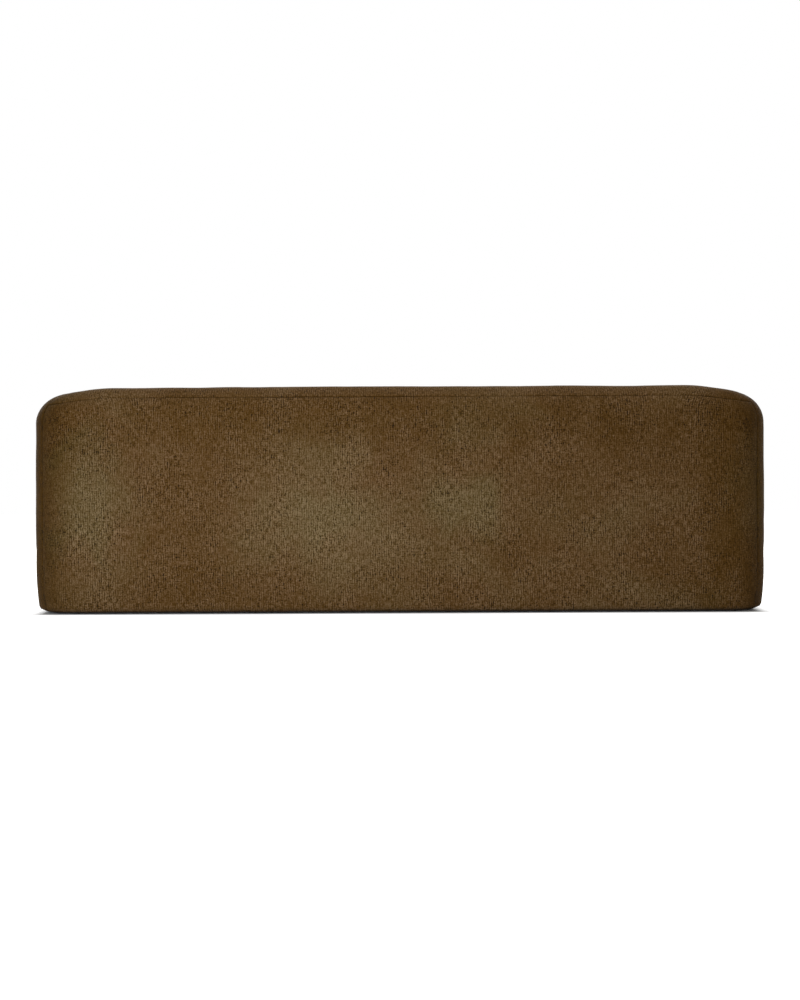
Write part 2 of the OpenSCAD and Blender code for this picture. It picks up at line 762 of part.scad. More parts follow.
// A stuffed box cushion on its flat face. t0 and t1 are its thickness at the -Y and +Y edges, crown
// lifts its face up to v_end, bulge rounds its border, and inset shrinks it for the layers inside.
module cushion_form(w, d, t0, t1, crown, v_end, bulge, inset, n) {
    a = w/2 - bulge + least_draw - inset;
    b = d/2 - bulge + least_draw - inset;
    side = n + 1;
    rim = 4*n;
    grid = [for (j = [0 : n], i = [0 : n]) [station(i, n), station(j, n)]];
    around = [for (k = [0 : rim - 1]) let (p = edge_place(k, n)) [station(p[0], n), station(p[1], n)]];
    function thick(v) = mix(t0, t1, (v + 1)/2);
    function spot(uv, out, z) = let (p = cushion_plan(uv[0], uv[1], a + out, b + out)) [p[0], p[1], z];
    function face_z(uv) = thick(uv[1]) - inset + crown*dome(uv[0], uv[1], v_end);
    face_points = [for (uv = grid) spot(uv, -cushion_edge, face_z(uv))];
    base_points = [for (uv = grid) spot(uv, -cushion_edge, inset)];
    high_ring = [for (uv = around) spot(uv, 0, thick(uv[1]) - inset - cushion_edge)];
    mid_ring = [for (uv = around) spot(uv, bulge - inset/2, thick(uv[1])/2)];
    low_ring = [for (uv = around) spot(uv, 0, inset + cushion_edge)];
    first_base = side*side;
    first_ring = 2*first_base;
    face_rim = [for (k = [0 : rim - 1]) let (p = edge_place(k, n)) p[1]*side + p[0]];
    rings = [
        face_rim,
        for (r = [0 : 2]) [for (k = [0 : rim - 1]) first_ring + r*rim + k],
        [for (k = face_rim) first_base + k]
    ];
    cells = [for (j = [0 : n - 1], i = [0 : n - 1]) j*side + i];
    turns = [for (r = [0 : 3], k = [0 : rim - 1]) [rings[r], rings[r + 1], k, (k + 1) % rim]];
    polyhedron(
        points = concat(face_points, base_points, high_ring, mid_ring, low_ring),
        faces = concat(
            [for (c = cells) [c, c + side, c + side + 1]],
            [for (c = cells) [c, c + side + 1, c + 1]],
            [for (c = cells) [first_base + c, first_base + c + side + 1, first_base + c + side]],
            [for (c = cells) [first_base + c, first_base + c + 1, first_base + c + side + 1]],
            [for (t = turns) [t[0][t[2]], t[0][t[3]], t[1][t[3]]]],
            [for (t = turns) [t[0][t[2]], t[1][t[3]], t[1][t[2]]]]
        )
    );
}

function seat_x(seat) = -arm_in_x + cushion_gap + seat_w/2 + seat*(seat_w + cushion_gap);

module at_seat_cushion(seat)
    translate([seat_x(seat), seat_front_y + seat_d/2, seat_z]) children();

// A seat cushion is crowned in front and pressed flat under its back cushion.
module seat_form(inset, n)
    cushion_form(seat_w, seat_d, seat_t, seat_t, seat_crown, 1 - 2*(back_low_t + cushion_edge)/seat_d,
                 seat_bulge, inset, n);

module seat_core(clear)
    box([-seat_w/2 + core_inset - clear, -seat_d/2 + core_inset - clear, core_inset/2 - clear],
        [seat_w/2 - core_inset + clear, seat_d/2 - core_inset + clear, seat_t - core_inset/2 + clear]);

module seat_cushion_cover(seat)
    color(cloth) at_seat_cushion(seat) difference() {
        seat_form(0, outer_cells);
        seat_form(cover_t, inner_cells);
    }

module seat_cushion_wrap(seat)
    color(fibre_colour) at_seat_cushion(seat) difference() {
        seat_form(foam_in, inner_cells);
        seat_core(core_clear);
    }

module seat_cushion_foam(seat)
    color(foam_colour) at_seat_cushion(seat) seat_core(0);

// A back cushion stands on the seat cushion with its flat face against the back.
module at_back_cushion(seat)
    translate([seat_x(seat), back_in_y - cushion_gap, back_z + back_cushion_h/2])
        rotate([90, 0, 0]) children();

module back_form(inset, n)
    cushion_form(seat_w, back_cushion_h, back_low_t, back_high_t, back_crown, 1, back_bulge, inset, n);

module back_cushion_cover(seat)
    color(cloth) at_back_cushion(seat) difference() {
        back_form(0, outer_cells);
        back_form(cover_t, inner_cells);
    }

module back_cushion_fill(seat)
    color(fibre_colour) at_back_cushion(seat) back_form(foam_in, inner_cells);

// The assembly

outside_back_cover();
back_cover();
left_arm_cover();
mirror([1, 0, 0]) left_arm_cover();  // right_arm_cover
front_border_cover();
deck_cover();
dust_cover();
back_foam();
left_arm_foam();
mirror([1, 0, 0]) left_arm_foam();  // right_arm_foam
front_border_foam();
deck_pad();
insulator_felt();
spring_tie_wires();
seat_springs(0);  // seat_springs_left
seat_springs(1);  // seat_springs_centre
seat_springs(2);  // seat_springs_right
spring_clips();
base_front_rail();
base_rear_rail();
base_end_rails();
base_cross_rails();
corner_blocks();
back_ribs();
back_rails();
back_top_board();
back_outer_board();
back_webbing();
left_arm_inner_panel();
left_arm_outer_board();
left_arm_end_boards();
left_arm_front_panel();
left_arm_posts();
left_arm_formers();
mirror([1, 0, 0]) left_arm_inner_panel();  // right_arm_inner_panel
mirror([1, 0, 0]) left_arm_outer_board();  // right_arm_outer_board
mirror([1, 0, 0]) left_arm_end_boards();  // right_arm_end_boards
mirror([1, 0, 0]) left_arm_front_panel();  // right_arm_front_panel
mirror([1, 0, 0]) left_arm_posts();  // right_arm_posts
mirror([1, 0, 0]) left_arm_formers();  // right_arm_formers
arm_bolts();
arm_tee_nuts();
floor_glides();
glide_screws();
seat_cushion_cover(0);  // seat_cushion_left_cover
seat_cushion_wrap(0);  // seat_cushion_left_wrap
seat_cushion_foam(0);  // seat_cushion_left_foam
seat_cushion_cover(1);  // seat_cushion_centre_cover
seat_cushion_wrap(1);  // seat_cushion_centre_wrap
seat_cushion_foam(1);  // seat_cushion_centre_foam
seat_cushion_cover(2);  // seat_cushion_right_cover
seat_cushion_wrap(2);  // seat_cushion_right_wrap
seat_cushion_foam(2);  // seat_cushion_right_foam
back_cushion_cover(0);  // back_cushion_left_cover
back_cushion_fill(0);  // back_cushion_left_fill
back_cushion_cover(1);  // back_cushion_centre_cover
back_cushion_fill(1);  // back_cushion_centre_fill
back_cushion_cover(2);  // back_cushion_right_cover
back_cushion_fill(2);  // back_cushion_right_fill
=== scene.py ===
"""Looks of a three-seater block sofa: padded walls, cushions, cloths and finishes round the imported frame."""
import json
import math

import bmesh
import bpy
import numpy as np
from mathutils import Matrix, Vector, noise


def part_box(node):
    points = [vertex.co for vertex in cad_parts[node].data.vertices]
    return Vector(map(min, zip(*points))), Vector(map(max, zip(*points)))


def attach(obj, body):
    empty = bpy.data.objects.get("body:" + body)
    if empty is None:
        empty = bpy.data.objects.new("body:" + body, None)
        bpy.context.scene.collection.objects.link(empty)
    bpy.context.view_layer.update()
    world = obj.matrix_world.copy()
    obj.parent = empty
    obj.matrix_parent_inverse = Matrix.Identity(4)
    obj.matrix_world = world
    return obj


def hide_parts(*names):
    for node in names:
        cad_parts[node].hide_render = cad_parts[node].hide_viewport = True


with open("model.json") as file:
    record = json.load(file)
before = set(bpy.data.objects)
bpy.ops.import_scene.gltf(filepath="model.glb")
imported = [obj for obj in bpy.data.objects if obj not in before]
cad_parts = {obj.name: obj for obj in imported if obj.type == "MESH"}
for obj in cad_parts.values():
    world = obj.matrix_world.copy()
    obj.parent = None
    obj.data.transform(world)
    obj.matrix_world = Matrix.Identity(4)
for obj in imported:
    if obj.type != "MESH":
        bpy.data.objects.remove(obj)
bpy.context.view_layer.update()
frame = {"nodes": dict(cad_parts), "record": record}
NODES = frame["nodes"]
MM = 0.001

# Two places closer than this are one, and a length is divided by at least this.
SAME = 1e-6
NOT_ZERO = 1e-9

# The steps in X, Y and Z from the noise of one seed to the next.
SEED_SHIFT = (7.31, 3.17, 5.77)

# Faces of the sofa, from the frame. Distances across it are measured from its middle plane.
arm_low, arm_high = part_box("left_arm_cover")
HALF_W = -arm_low.x
ARM_IN = -arm_high.x
FRONT = arm_low.y
HEM = arm_low.z
TOP = arm_high.z
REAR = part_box("outside_back_cover")[1].y
TOP_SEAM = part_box("outside_back_cover")[1].z
BACK_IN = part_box("back_foam")[0].y
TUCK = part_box("back_cover")[0].z
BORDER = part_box("front_border_cover")[0].y
DECK_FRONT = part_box("deck_cover")[0].y
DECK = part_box("deck_cover")[1].z
ARM_T = HALF_W - ARM_IN
BACK_T = REAR - BACK_IN
SEAT_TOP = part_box("back_cushion_left_cover")[0].z
SEATS = ["left", "centre", "right"]

# Softness of the walls: how far their top edges round inwards and down, and the radii of their rear and
# front corners. Past the end of a face the rounding of its edge fades out over a way.
EDGE_IN = 95 * MM
EDGE_DOWN = 92 * MM
REAR_R = 140 * MM
FRONT_R = 80 * MM
CORNER_GIVE = 220 * MM

# Between its front corner and this place an arm turns from firm to soft.
FIRM_TO = FRONT + 3.5 * FRONT_R

# How far the tops sag at the sofa's ends, where across it that starts and is full, how deep it goes, and
# what share of it is left at the arms' fronts, from where it grows up to a place.
SAG = 20 * MM
SAG_FROM = 890 * MM
SAG_TO = 1120 * MM
SAG_DEEP = 4.5 * EDGE_DOWN
FRONT_SAG_SHARE = 0.3
SLACK_TO = 280 * MM

# How far the faces draw in at the hem and up to what height, the radius of the hem, and what share of that
# is left at the arms' fronts, up to where it is full.
HEM_TUCK = 12 * MM
HEM_TUCK_H = 150 * MM
HEM_R = 16 * MM
FRONT_HEM_SHARE = 0.2
FULL_HEM_FROM = FRONT + 3 * FRONT_R

# The walls' cloth with its padding, its cells, its crown between the seams, and how unevenly it has
# settled, in wide and in small clouds.
WALL_SKIN = 6 * MM
WALL_CELL = 8 * MM
WALL_CROWN = 2 * MM
CROWN_REACH = 90 * MM
SETTLE = 1.6 * MM
SETTLE_WIDE = 240 * MM
SMALL_SETTLE = 0.2 * SETTLE
SMALL_SETTLE_WIDE = 60 * MM

# Seams: half their width, their depth, how far their shade reaches, the small folds that run away from them,
# and where the cells beside them are cut, on smooth walls and on rounded edges.
SEAM_HALF = 4 * MM
SEAM_DEEP = 1.8 * MM
SEAM_REACH = 9 * MM
PUCKER = 0.9 * MM
PUCKER_LONG = 26 * MM
PUCKER_WIDE = 16 * MM
WALL_CUTS = (2 * MM, 5 * MM)
EDGE_CUTS = (4 * MM, 9 * MM)

# A small pulled crease low on the rear corner: its height, its half width and height, its depth, its slope,
# and how far in from the square corner its middle lies.
CREASE_Z = 128 * MM
CREASE_WIDE = 26 * MM
CREASE_HIGH = 7 * MM
CREASE_DEEP = 3.5 * MM
CREASE_SLOPE = 0.25
CREASE_IN = 0.3 * REAR_R

# The front border and the cloths: radius, cells, thicknesses, and how unevenly each has settled.
BORDER_R = 24 * MM
BORDER_HEM_SHARE = 0.3
BORDER_SETTLE = 1.2 * MM
BORDER_SETTLE_WIDE = 160 * MM
DECK_CELLS = (120, 40)
DECK_T = 1.2 * MM
DECK_RISE = 2 * MM
DECK_RISE_WIDE = 150 * MM
DECK_FLAT = 60 * MM
DUST_CELLS = (112, 46)
DUST_T = 0.6 * MM
DUST_IN = 30 * MM
DUST_SAG = 0.3 * MM
DUST_SAG_WIDE = 90 * MM

# The cushions: their cells, how much smaller they start than their CAD covers, sideways and in height, their
# seams, and how unevenly they have settled, in wide and in small clouds.
CUSHION_CELL = 12 * MM
CUSHION_SMALLER = 7 * MM
CUSHION_LOWER = 0.4 * CUSHION_SMALLER
CUSHION_SEAM = 2.0 * MM
CUSHION_SEAM_HALF = 1.4 * SEAM_HALF
CUSHION_SETTLE = 2.2 * MM
CUSHION_SETTLE_WIDE = 170 * MM
SMALL_DENT = 0.5 * MM
SMALL_DENT_WIDE = 45 * MM

# Their edges and crowns. Places along a cushion are shares of half its size, from -1 to 1.
ON_FACE = 0.999
SEAT_EDGE_R = 28 * MM
SEAT_CROWN = 13 * MM
CROWN_FULL_FROM = -0.5
CROWN_FULL_TO = -0.1
CROWN_END = 0.42
BACK_EDGE_R = 62 * MM
BACK_CROWN = 22 * MM
BACK_ENDS_IN = 5 * MM

# How the cloth simulation blows them up, and the farthest that it may move a point.
SWELL_FRAMES = 20
SWELL_PRESSURE = 4
SWELL_CAP = 16 * MM

# The air between two pieces, how softly a cushion's points stop at its sides, its rear and where it lies
# flat, and how much a seat cushion may rise in front of the back cushion, and from where on.
REST_GAP = 0.2 * MM
SIDE_GIVE = 10 * MM
REAR_GIVE = 4 * MM
FLAT_GIVE = 3 * MM
FREE_TO = 75 * MM
FREE_RISE = 24 * MM

# Seeds of each piece's unevenness, and the step from one cushion to the next.
SEEDS = {
    "outside_back": 11,
    "back": 23,
    "left_arm": 31,
    "right_arm": 47,
    "front_border": 61,
    "deck_cloth": 71,
    "dust_sheet": 83,
    "seat_cushion": 101,
    "back_cushion": 201,
}
CUSHION_STEP = 10


# Small helpers

def smooth(low, high, value):
    """A smooth step from 0 at low to 1 at high."""
    t = np.clip((value - low) / (high - low), 0, 1)
    return t * t * (3 - 2 * t)


def clouds(points, size, seed, octaves=3):
    """Cloudy noise from about -1 to 1 at each point, with features of that size."""
    shift = Vector([seed * step for step in SEED_SHIFT])
    return np.array([noise.fractal(Vector(p) / size + shift, 1.0, 2.0, octaves) for p in points])


def get_points(mesh):
    """The mesh's vertices as rows of x, y and z."""
    flat = np.empty(len(mesh.vertices) * 3)
    mesh.vertices.foreach_get("co", flat)
    return flat.reshape(-1, 3)


def set_points(mesh, points):
    """Moves the mesh's vertices."""
    mesh.vertices.foreach_set("co", points.reshape(-1))
    mesh.update()


def get_normals(mesh):
    """The mesh's vertex normals as rows."""
    flat = np.empty(len(mesh.vertices) * 3)
    mesh.vertex_normals.foreach_get("vector", flat)
    return flat.reshape(-1, 3)


def make_piece(name, bm, body, material, replaced=()):
    """Turns a bmesh into a named piece that rides on a body and stands for CAD nodes."""
    mesh = bpy.data.meshes.new(name)
    bm.to_mesh(mesh)
    bm.free()
    mesh.materials.append(material)
    mesh.shade_smooth()
    piece = bpy.data.objects.new(name, mesh)
    bpy.context.scene.collection.objects.link(piece)
    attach(piece, body)
    if replaced:
        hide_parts(*replaced)
    return piece


def thicken(piece, thickness):
    """Gives a cloth piece its thickness on its inner side."""
    wall = piece.modifiers.new("thickness", "SOLIDIFY")
    wall.thickness = thickness
    wall.offset = -1
    wall.use_rim = True


def cut_block(low, high, cell):
    """A sharp block between two corners, cut into even cells."""
    bm = bmesh.new()
    bmesh.ops.create_cube(bm, size=1)
    size = Vector(high) - Vector(low)
    bmesh.ops.scale(bm, vec=size, verts=bm.verts)
    bmesh.ops.translate(bm, vec=(Vector(low) + Vector(high)) / 2, verts=bm.verts)
    for axis in range(3):
        along = [e for e in bm.edges if abs((e.verts[0].co - e.verts[1].co)[axis]) > MM]
        cuts = max(1, round(size[axis] / cell)) - 1
        if cuts:
            bmesh.ops.subdivide_edges(bm, edges=along, cuts=cuts, use_grid_fill=True)
    bm.normal_update()
    return bm


def cut_plane(bm, place, normal, clear=False):
    """Cuts every face that a plane crosses, and with clear drops what lies on its normal's side."""
    geom = bm.verts[:] + bm.edges[:] + bm.faces[:]
    bmesh.ops.bisect_plane(bm, geom=geom, dist=SAME, plane_co=place, plane_no=normal, clear_outer=clear)


def cut_beside(bm, place, normal, offsets=WALL_CUTS):
    """Cuts on both sides of a plane, so that a seam there has close cells."""
    for offset in offsets:
        for way in (-1, 1):
            cut_plane(bm, Vector(place) + way * offset * Vector(normal), normal)


def keep_faces(bm, wanted):
    """Drops the faces that wanted(centre, normal) refuses."""
    gone = [f for f in bm.faces if not wanted(f.calc_center_median(), f.normal)]
    bmesh.ops.delete(bm, geom=gone, context="FACES")


def lay_cloth(bm, place):
    """Gives each corner of each face its place on the cloth, in metres, with the warp along V."""
    layer = bm.loops.layers.uv.verify()
    for face in bm.faces:
        for loop in face.loops:
            loop[layer].uv = place(loop.vert.co, face.normal)


# The walls

def back_cloth(co, normal):
    """The back's cloth goes up the outside, over the top and down the inside."""
    if normal.z > 0.5:
        return co.x, TOP + REAR - co.y
    if normal.y < -0.5:
        return co.x, TOP + BACK_T + TOP - co.z
    return co.x, co.z


def arm_cloth(co, normal):
    """An arm's cloth goes up the outside, over the top and down the inside. Its front is a panel."""
    depth = HALF_W - abs(co.x)
    if normal.z > 0.5:
        return co.y, TOP + depth
    if normal.y < -0.5:
        return FRONT - depth, co.z
    if normal.x * co.x < 0:
        return co.y, TOP + ARM_T + TOP - co.z
    return co.y, co.z


def turn_in(depth, reach):
    """Where a point of the flat top goes, so that top and wall meet in a rounded edge."""
    angle = math.pi / 2 - np.arctan(np.clip((reach - depth) / reach, 0, 1))
    return np.where(depth < reach, reach * (1 - np.cos(angle)), depth)


def lean_in(depth, reach, angle, on_top):
    """The new distance of points to one face of the wall, where the edge above it is rounded. Past the end
    of the face, where the depth is negative, the rounding fades out."""
    within = np.maximum(depth, 0)
    whole_edge = reach * (1 - math.cos(math.pi / 4))
    share = np.where(on_top, 1, reach * (1 - np.cos(angle)) / whole_edge)
    moved = (turn_in(within, reach) - within) * share * smooth(-CORNER_GIVE, 0, depth)
    return np.where(depth < reach, depth + moved, depth)


def fall(depth, reach):
    """How far the top has gone down at a distance from a face, as a share of the edge's height."""
    share = np.clip(1 - depth / reach, 0, 1)
    return 1 - np.sqrt(1 - share ** 2)


def round_corner(x, y, centre, turn, radius):
    """Turns the square corner beyond a centre into a quarter round."""
    u = (x - centre[0]) * turn[0] / radius
    v = (y - centre[1]) * turn[1] / radius
    inside = (u > 0) & (v > 0)
    scale = np.where(inside, np.maximum(u, v) / np.maximum(np.hypot(u, v), NOT_ZERO), 1)
    x = np.where(inside, centre[0] + turn[0] * u * radius * scale, x)
    y = np.where(inside, centre[1] + turn[1] * v * radius * scale, y)
    return x, y


def hem_inset(z):
    """How far the outer faces draw in towards the hem."""
    tuck = HEM_TUCK * np.clip(1 - (z - HEM) / HEM_TUCK_H, 0, 1) ** 2
    return tuck + HEM_R * (1 - np.sqrt(1 - np.clip(1 - (z - HEM) / HEM_R, 0, 1) ** 2))


def soften_walls(points):
    """Moves points of the sharp blocks of arms and back to their soft shape, firmer at the arms' fronts."""
    way = np.where(points[:, 0] < 0, -1.0, 1.0)
    x, y, z = np.abs(points[:, 0]), points[:, 1], points[:, 2]
    soft = smooth(FRONT + FRONT_R, FIRM_TO, y)
    slack = smooth(FRONT + FRONT_R, SLACK_TO, y)
    side_reach = FRONT_R + (EDGE_IN - FRONT_R) * soft
    drop = FRONT_R + (EDGE_DOWN - FRONT_R) * soft
    rise = np.where(z > TOP - EDGE_DOWN, (z - (TOP - EDGE_DOWN)) / EDGE_DOWN, 0)
    angle = np.arctan(rise)
    on_top = z > TOP - SAME
    in_arm = x > ARM_IN - SAME
    in_back = y > BACK_IN - SAME
    outer = lean_in(HALF_W - x, side_reach, angle, on_top)
    inner = lean_in(x - ARM_IN, side_reach, angle, on_top)
    rear = lean_in(REAR - y, EDGE_IN, angle, on_top)
    front = lean_in(y - FRONT, FRONT_R, angle, on_top)
    inside = lean_in(y - BACK_IN, EDGE_IN, angle, on_top)
    new_x = np.where(outer < inner, HALF_W - outer, ARM_IN + inner)
    new_y = np.where(rear < inside, REAR - rear, BACK_IN + inside)
    new_y = np.where(in_back, new_y, FRONT + front + inside - (y - BACK_IN))
    inner_fall = np.where(in_arm, fall(inner, side_reach), 1)
    inside_fall = np.where(in_back, fall(inside, EDGE_IN), 1)
    down = np.maximum(fall(outer, side_reach), np.maximum(fall(rear, EDGE_IN), fall(front, FRONT_R)))
    down = np.maximum(down, np.minimum(inner_fall, inside_fall))
    # The wall below the edge stretches a little where the edge is less high.
    stretched = z + (EDGE_DOWN - drop) * np.clip(z / TOP, 0, 1) ** 4
    new_z = np.where(rise > 0, TOP - drop + drop * np.sin(angle), stretched)
    new_z = np.where(on_top, TOP - drop * down, new_z)
    # The hem draws in less at the arms' fronts, where the frame's corners stand close behind the cloth.
    tuck = hem_inset(z) * (FRONT_HEM_SHARE + (1 - FRONT_HEM_SHARE) * smooth(FRONT, FULL_HEM_FROM, y))
    new_x = np.where(outer < inner, np.minimum(new_x, HALF_W - tuck), new_x)
    new_y = np.where(in_back, np.minimum(new_y, REAR - tuck), np.maximum(new_y, FRONT + tuck))
    new_x, new_y = round_corner(new_x, new_y, (HALF_W - REAR_R, REAR - REAR_R), (1, 1), REAR_R)
    front_y = FRONT + FRONT_R
    new_x, new_y = round_corner(new_x, new_y, (HALF_W - FRONT_R, front_y), (1, -1), FRONT_R)
    turned = round_corner(new_x, new_y, (ARM_IN + FRONT_R, front_y), (-1, -1), FRONT_R)
    new_x = np.where(new_y < BACK_IN, turned[0], new_x)
    new_y = np.where(new_y < BACK_IN, turned[1], new_y)
    sag = SAG * smooth(SAG_FROM, SAG_TO, new_x) * (FRONT_SAG_SHARE + (1 - FRONT_SAG_SHARE) * slack)
    new_z -= sag * smooth(TOP - SAG_DEEP, TOP - EDGE_DOWN, new_z)
    return np.stack([way * new_x, new_y, new_z], axis=1)


# Height on the sharp block that becomes the height of the top seam.
SEAM_RISE = (TOP_SEAM - TOP + EDGE_DOWN) / EDGE_DOWN
BLOCK_SEAM = TOP - EDGE_DOWN + EDGE_DOWN * math.tan(math.asin(SEAM_RISE))


def mitre(side):
    """A point of the upright plane of a corner seam, and the plane's normal, towards the arm."""
    normal = Vector((side * BACK_T, -ARM_T, 0)).normalized()
    return Vector((side * ARM_IN, BACK_IN, 0)), normal


def to_corner_seam(points):
    """Distance of the sharp block's points to the corner seams."""
    place, normal = mitre(1)
    offset = np.abs(points) * (1, 0, 0) + points * (0, 1, 1) - np.array(place)
    return np.abs(offset @ np.array(normal))


def to_back_seams(points):
    """Distance of the back's points to its corner seams and its top seam."""
    to_top = np.where(points[:, 1] > REAR - EDGE_IN, np.abs(points[:, 2] - BLOCK_SEAM), HALF_W)
    to_top = np.where(points[:, 2] > TOP - SAME, to_top + REAR - points[:, 1], to_top)
    return np.minimum(to_corner_seam(points), to_top)


def to_arm_seams(points):
    """Distance of an arm's points to its corner seam and to the seam round its front panel."""
    x, y, z = np.abs(points[:, 0]), points[:, 1], points[:, 2]
    on_front = y < FRONT + SAME
    in_panel = np.minimum(TOP - z, x - ARM_IN)
    around = np.where((z > TOP - SAME) | (x < ARM_IN + SAME), y - FRONT, HALF_W)
    return np.minimum(to_corner_seam(points), np.where(on_front, in_panel, around))


def seam_marks(points, distance, seed):
    """How far a seam and the small folds beside it lift the cloth."""
    folds = PUCKER * clouds(points, PUCKER_WIDE, seed, 2) * np.exp(-distance / PUCKER_LONG)
    return folds - SEAM_DEEP * np.exp(-(distance / SEAM_HALF) ** 2)


def note_seams(mesh, distance):
    """Tells the cloth's material how near each point is to a seam, from 1 on it to 0 past its reach. The
    material paints shade there.
    """
    near = mesh.attributes.new("seam_nearness", "FLOAT", "POINT")
    near.data.foreach_set("value", np.clip(1 - distance / SEAM_REACH, 0, 1).astype(np.float32))


def crease(points):
    """Depth of the small pulled crease low on each rear corner."""
    along = np.hypot(np.abs(points[:, 0]) - (HALF_W - CREASE_IN), points[:, 1] - (REAR - CREASE_IN))
    up = points[:, 2] - CREASE_Z - CREASE_SLOPE * along
    return CREASE_DEEP * np.exp(-(along / CREASE_WIDE) ** 2 - (up / CREASE_HIGH) ** 2)


def cover_wall(name, bm, cloth, to_seams, replaced):
    """Softens a wall piece, sinks its seams and lets its cloth lie a little unevenly."""
    piece = make_piece(name, bm, "frame", cloth, replaced)
    seed = SEEDS[name]
    mesh = piece.data
    block = get_points(mesh)
    distance = to_seams(block)
    points = soften_walls(block)
    set_points(mesh, points)
    lift = WALL_CROWN * (1 - np.exp(-distance / CROWN_REACH))
    lift += SETTLE * clouds(points, SETTLE_WIDE, seed)
    lift += SMALL_SETTLE * clouds(points, SMALL_SETTLE_WIDE, seed + 1)
    lift += seam_marks(points, distance, seed + 2) - crease(points)
    lift *= smooth(HEM, HEM + HEM_R, points[:, 2])
    points = points + get_normals(mesh) * lift[:, None]
    # The inner faces stay clear of the cushions.
    way = np.where(points[:, 0] < 0, -1.0, 1.0)
    inner = (np.abs(np.abs(block[:, 0]) - ARM_IN) < SAME) & (block[:, 1] < BACK_IN + SAME)
    points[:, 0] = np.where(inner, way * np.maximum(np.abs(points[:, 0]), ARM_IN), points[:, 0])
    inside = (np.abs(block[:, 1] - BACK_IN) < SAME) & (np.abs(block[:, 0]) < ARM_IN - SAME)
    points[:, 1] = np.where(inside, np.maximum(points[:, 1], BACK_IN), points[:, 1])
    set_points(mesh, points)
    note_seams(mesh, distance)
    thicken(piece, WALL_SKIN)


def back_block():
    """The sharp block of the back between its corner seams."""
    bm = cut_block((-HALF_W, BACK_IN, HEM), (HALF_W, REAR, TOP), WALL_CELL)
    for side in (-1, 1):
        place, normal = mitre(side)
        cut_beside(bm, place, normal)
        cut_plane(bm, place, normal, clear=True)
    cut_beside(bm, (0, 0, BLOCK_SEAM), (0, 0, 1))
    cut_plane(bm, (0, 0, BLOCK_SEAM), (0, 0, 1))
    bm.normal_update()
    return bm


def build_back():
    """The outside back panel, and the piece that goes over the top and down the inside."""
    panel = back_block()
    keep_faces(panel, lambda c, n: c.z < BLOCK_SEAM and (n.y > 0.5 or abs(n.x) > 0.5))
    lay_cloth(panel, back_cloth)
    cover_wall("outside_back", panel, CHENILLE, to_back_seams, ["outside_back_cover"])
    inside = back_block()
    keep_faces(inside, lambda c, n: n.z > 0.5 or n.z > -0.5 and c.z > (TUCK if n.y < -0.5 else BLOCK_SEAM))
    lay_cloth(inside, back_cloth)
    cover_wall("back", inside, CHENILLE, to_back_seams, ["back_cover", "back_foam"])


def build_arm(name, side):
    """An arm, cut from its wall at the corner seam. It has no bottom and no face where it was cut."""
    low_x, high_x = sorted((side * ARM_IN, side * HALF_W))
    bm = cut_block((low_x, FRONT, HEM), (high_x, REAR, TOP), WALL_CELL)
    place, normal = mitre(side)
    cut_beside(bm, place, normal)
    cut_plane(bm, place, -normal, clear=True)
    cut_beside(bm, (0, FRONT, 0), (0, 1, 0), EDGE_CUTS)
    cut_beside(bm, (0, 0, TOP), (0, 0, 1), EDGE_CUTS)
    cut_beside(bm, (side * ARM_IN, 0, 0), (1, 0, 0), EDGE_CUTS)
    bm.normal_update()
    keep_faces(bm, lambda c, n: n.z > -0.5 and abs(n.dot(normal)) < 0.99)
    lay_cloth(bm, arm_cloth)
    replaced = [f"{name}_arm_cover", f"{name}_arm_foam"]
    cover_wall(f"{name}_arm", bm, SHADED_ARM_CHENILLE, to_arm_seams, replaced)


# The front border and the cloths

def arm_inner_face(y):
    """Distance from the middle of the sofa to an arm's inner face, which rounds away at the front."""
    depth = np.clip(FRONT + FRONT_R - y, 0, FRONT_R)
    return ARM_IN + FRONT_R - np.sqrt(FRONT_R ** 2 - depth ** 2)


def build_border():
    """The padded front border between the arms, from the hem to the platform."""
    bm = cut_block((-ARM_IN, BORDER, HEM), (ARM_IN, DECK_FRONT, DECK), WALL_CELL)
    keep_faces(bm, lambda c, n: n.y < -0.5 or n.z > 0.5)
    lay_cloth(bm, lambda co, n: (co.x, co.z if n.y < -0.5 else DECK + co.y - BORDER))
    piece = make_piece("front_border", bm, "frame", CHENILLE,
                       ["front_border_cover", "front_border_foam"])
    points = get_points(piece.data)
    x, y, z = points[:, 0], points[:, 1], points[:, 2]
    y, z = round_corner(y, z, (BORDER + BORDER_R, DECK - BORDER_R), (-1, 1), BORDER_R)
    y = np.maximum(y, BORDER + BORDER_HEM_SHARE * hem_inset(z))
    new_x = x / ARM_IN * (arm_inner_face(y) - 2 * REST_GAP)
    points = np.stack([new_x, y, z], axis=1)
    set_points(piece.data, points)
    low = -BORDER_SETTLE * (0.5 + 0.5 * clouds(points, BORDER_SETTLE_WIDE, SEEDS["front_border"]))
    low *= smooth(HEM, HEM + HEM_R, z)
    set_points(piece.data, points + get_normals(piece.data) * low[:, None] * (0, 1, 1))
    thicken(piece, WALL_SKIN)


def flat_cloth(half, low_y, high_y, level, cells):
    """A flat cloth across the sofa, from its half width, its front and rear ends and its level."""
    bm = bmesh.new()
    bmesh.ops.create_grid(bm, x_segments=cells[0], y_segments=cells[1], size=1)
    bmesh.ops.scale(bm, vec=(half, (high_y - low_y) / 2, 1), verts=bm.verts)
    bmesh.ops.translate(bm, vec=(0, (high_y + low_y) / 2, level), verts=bm.verts)
    lay_cloth(bm, lambda co, n: (co.x, co.y))
    return bm


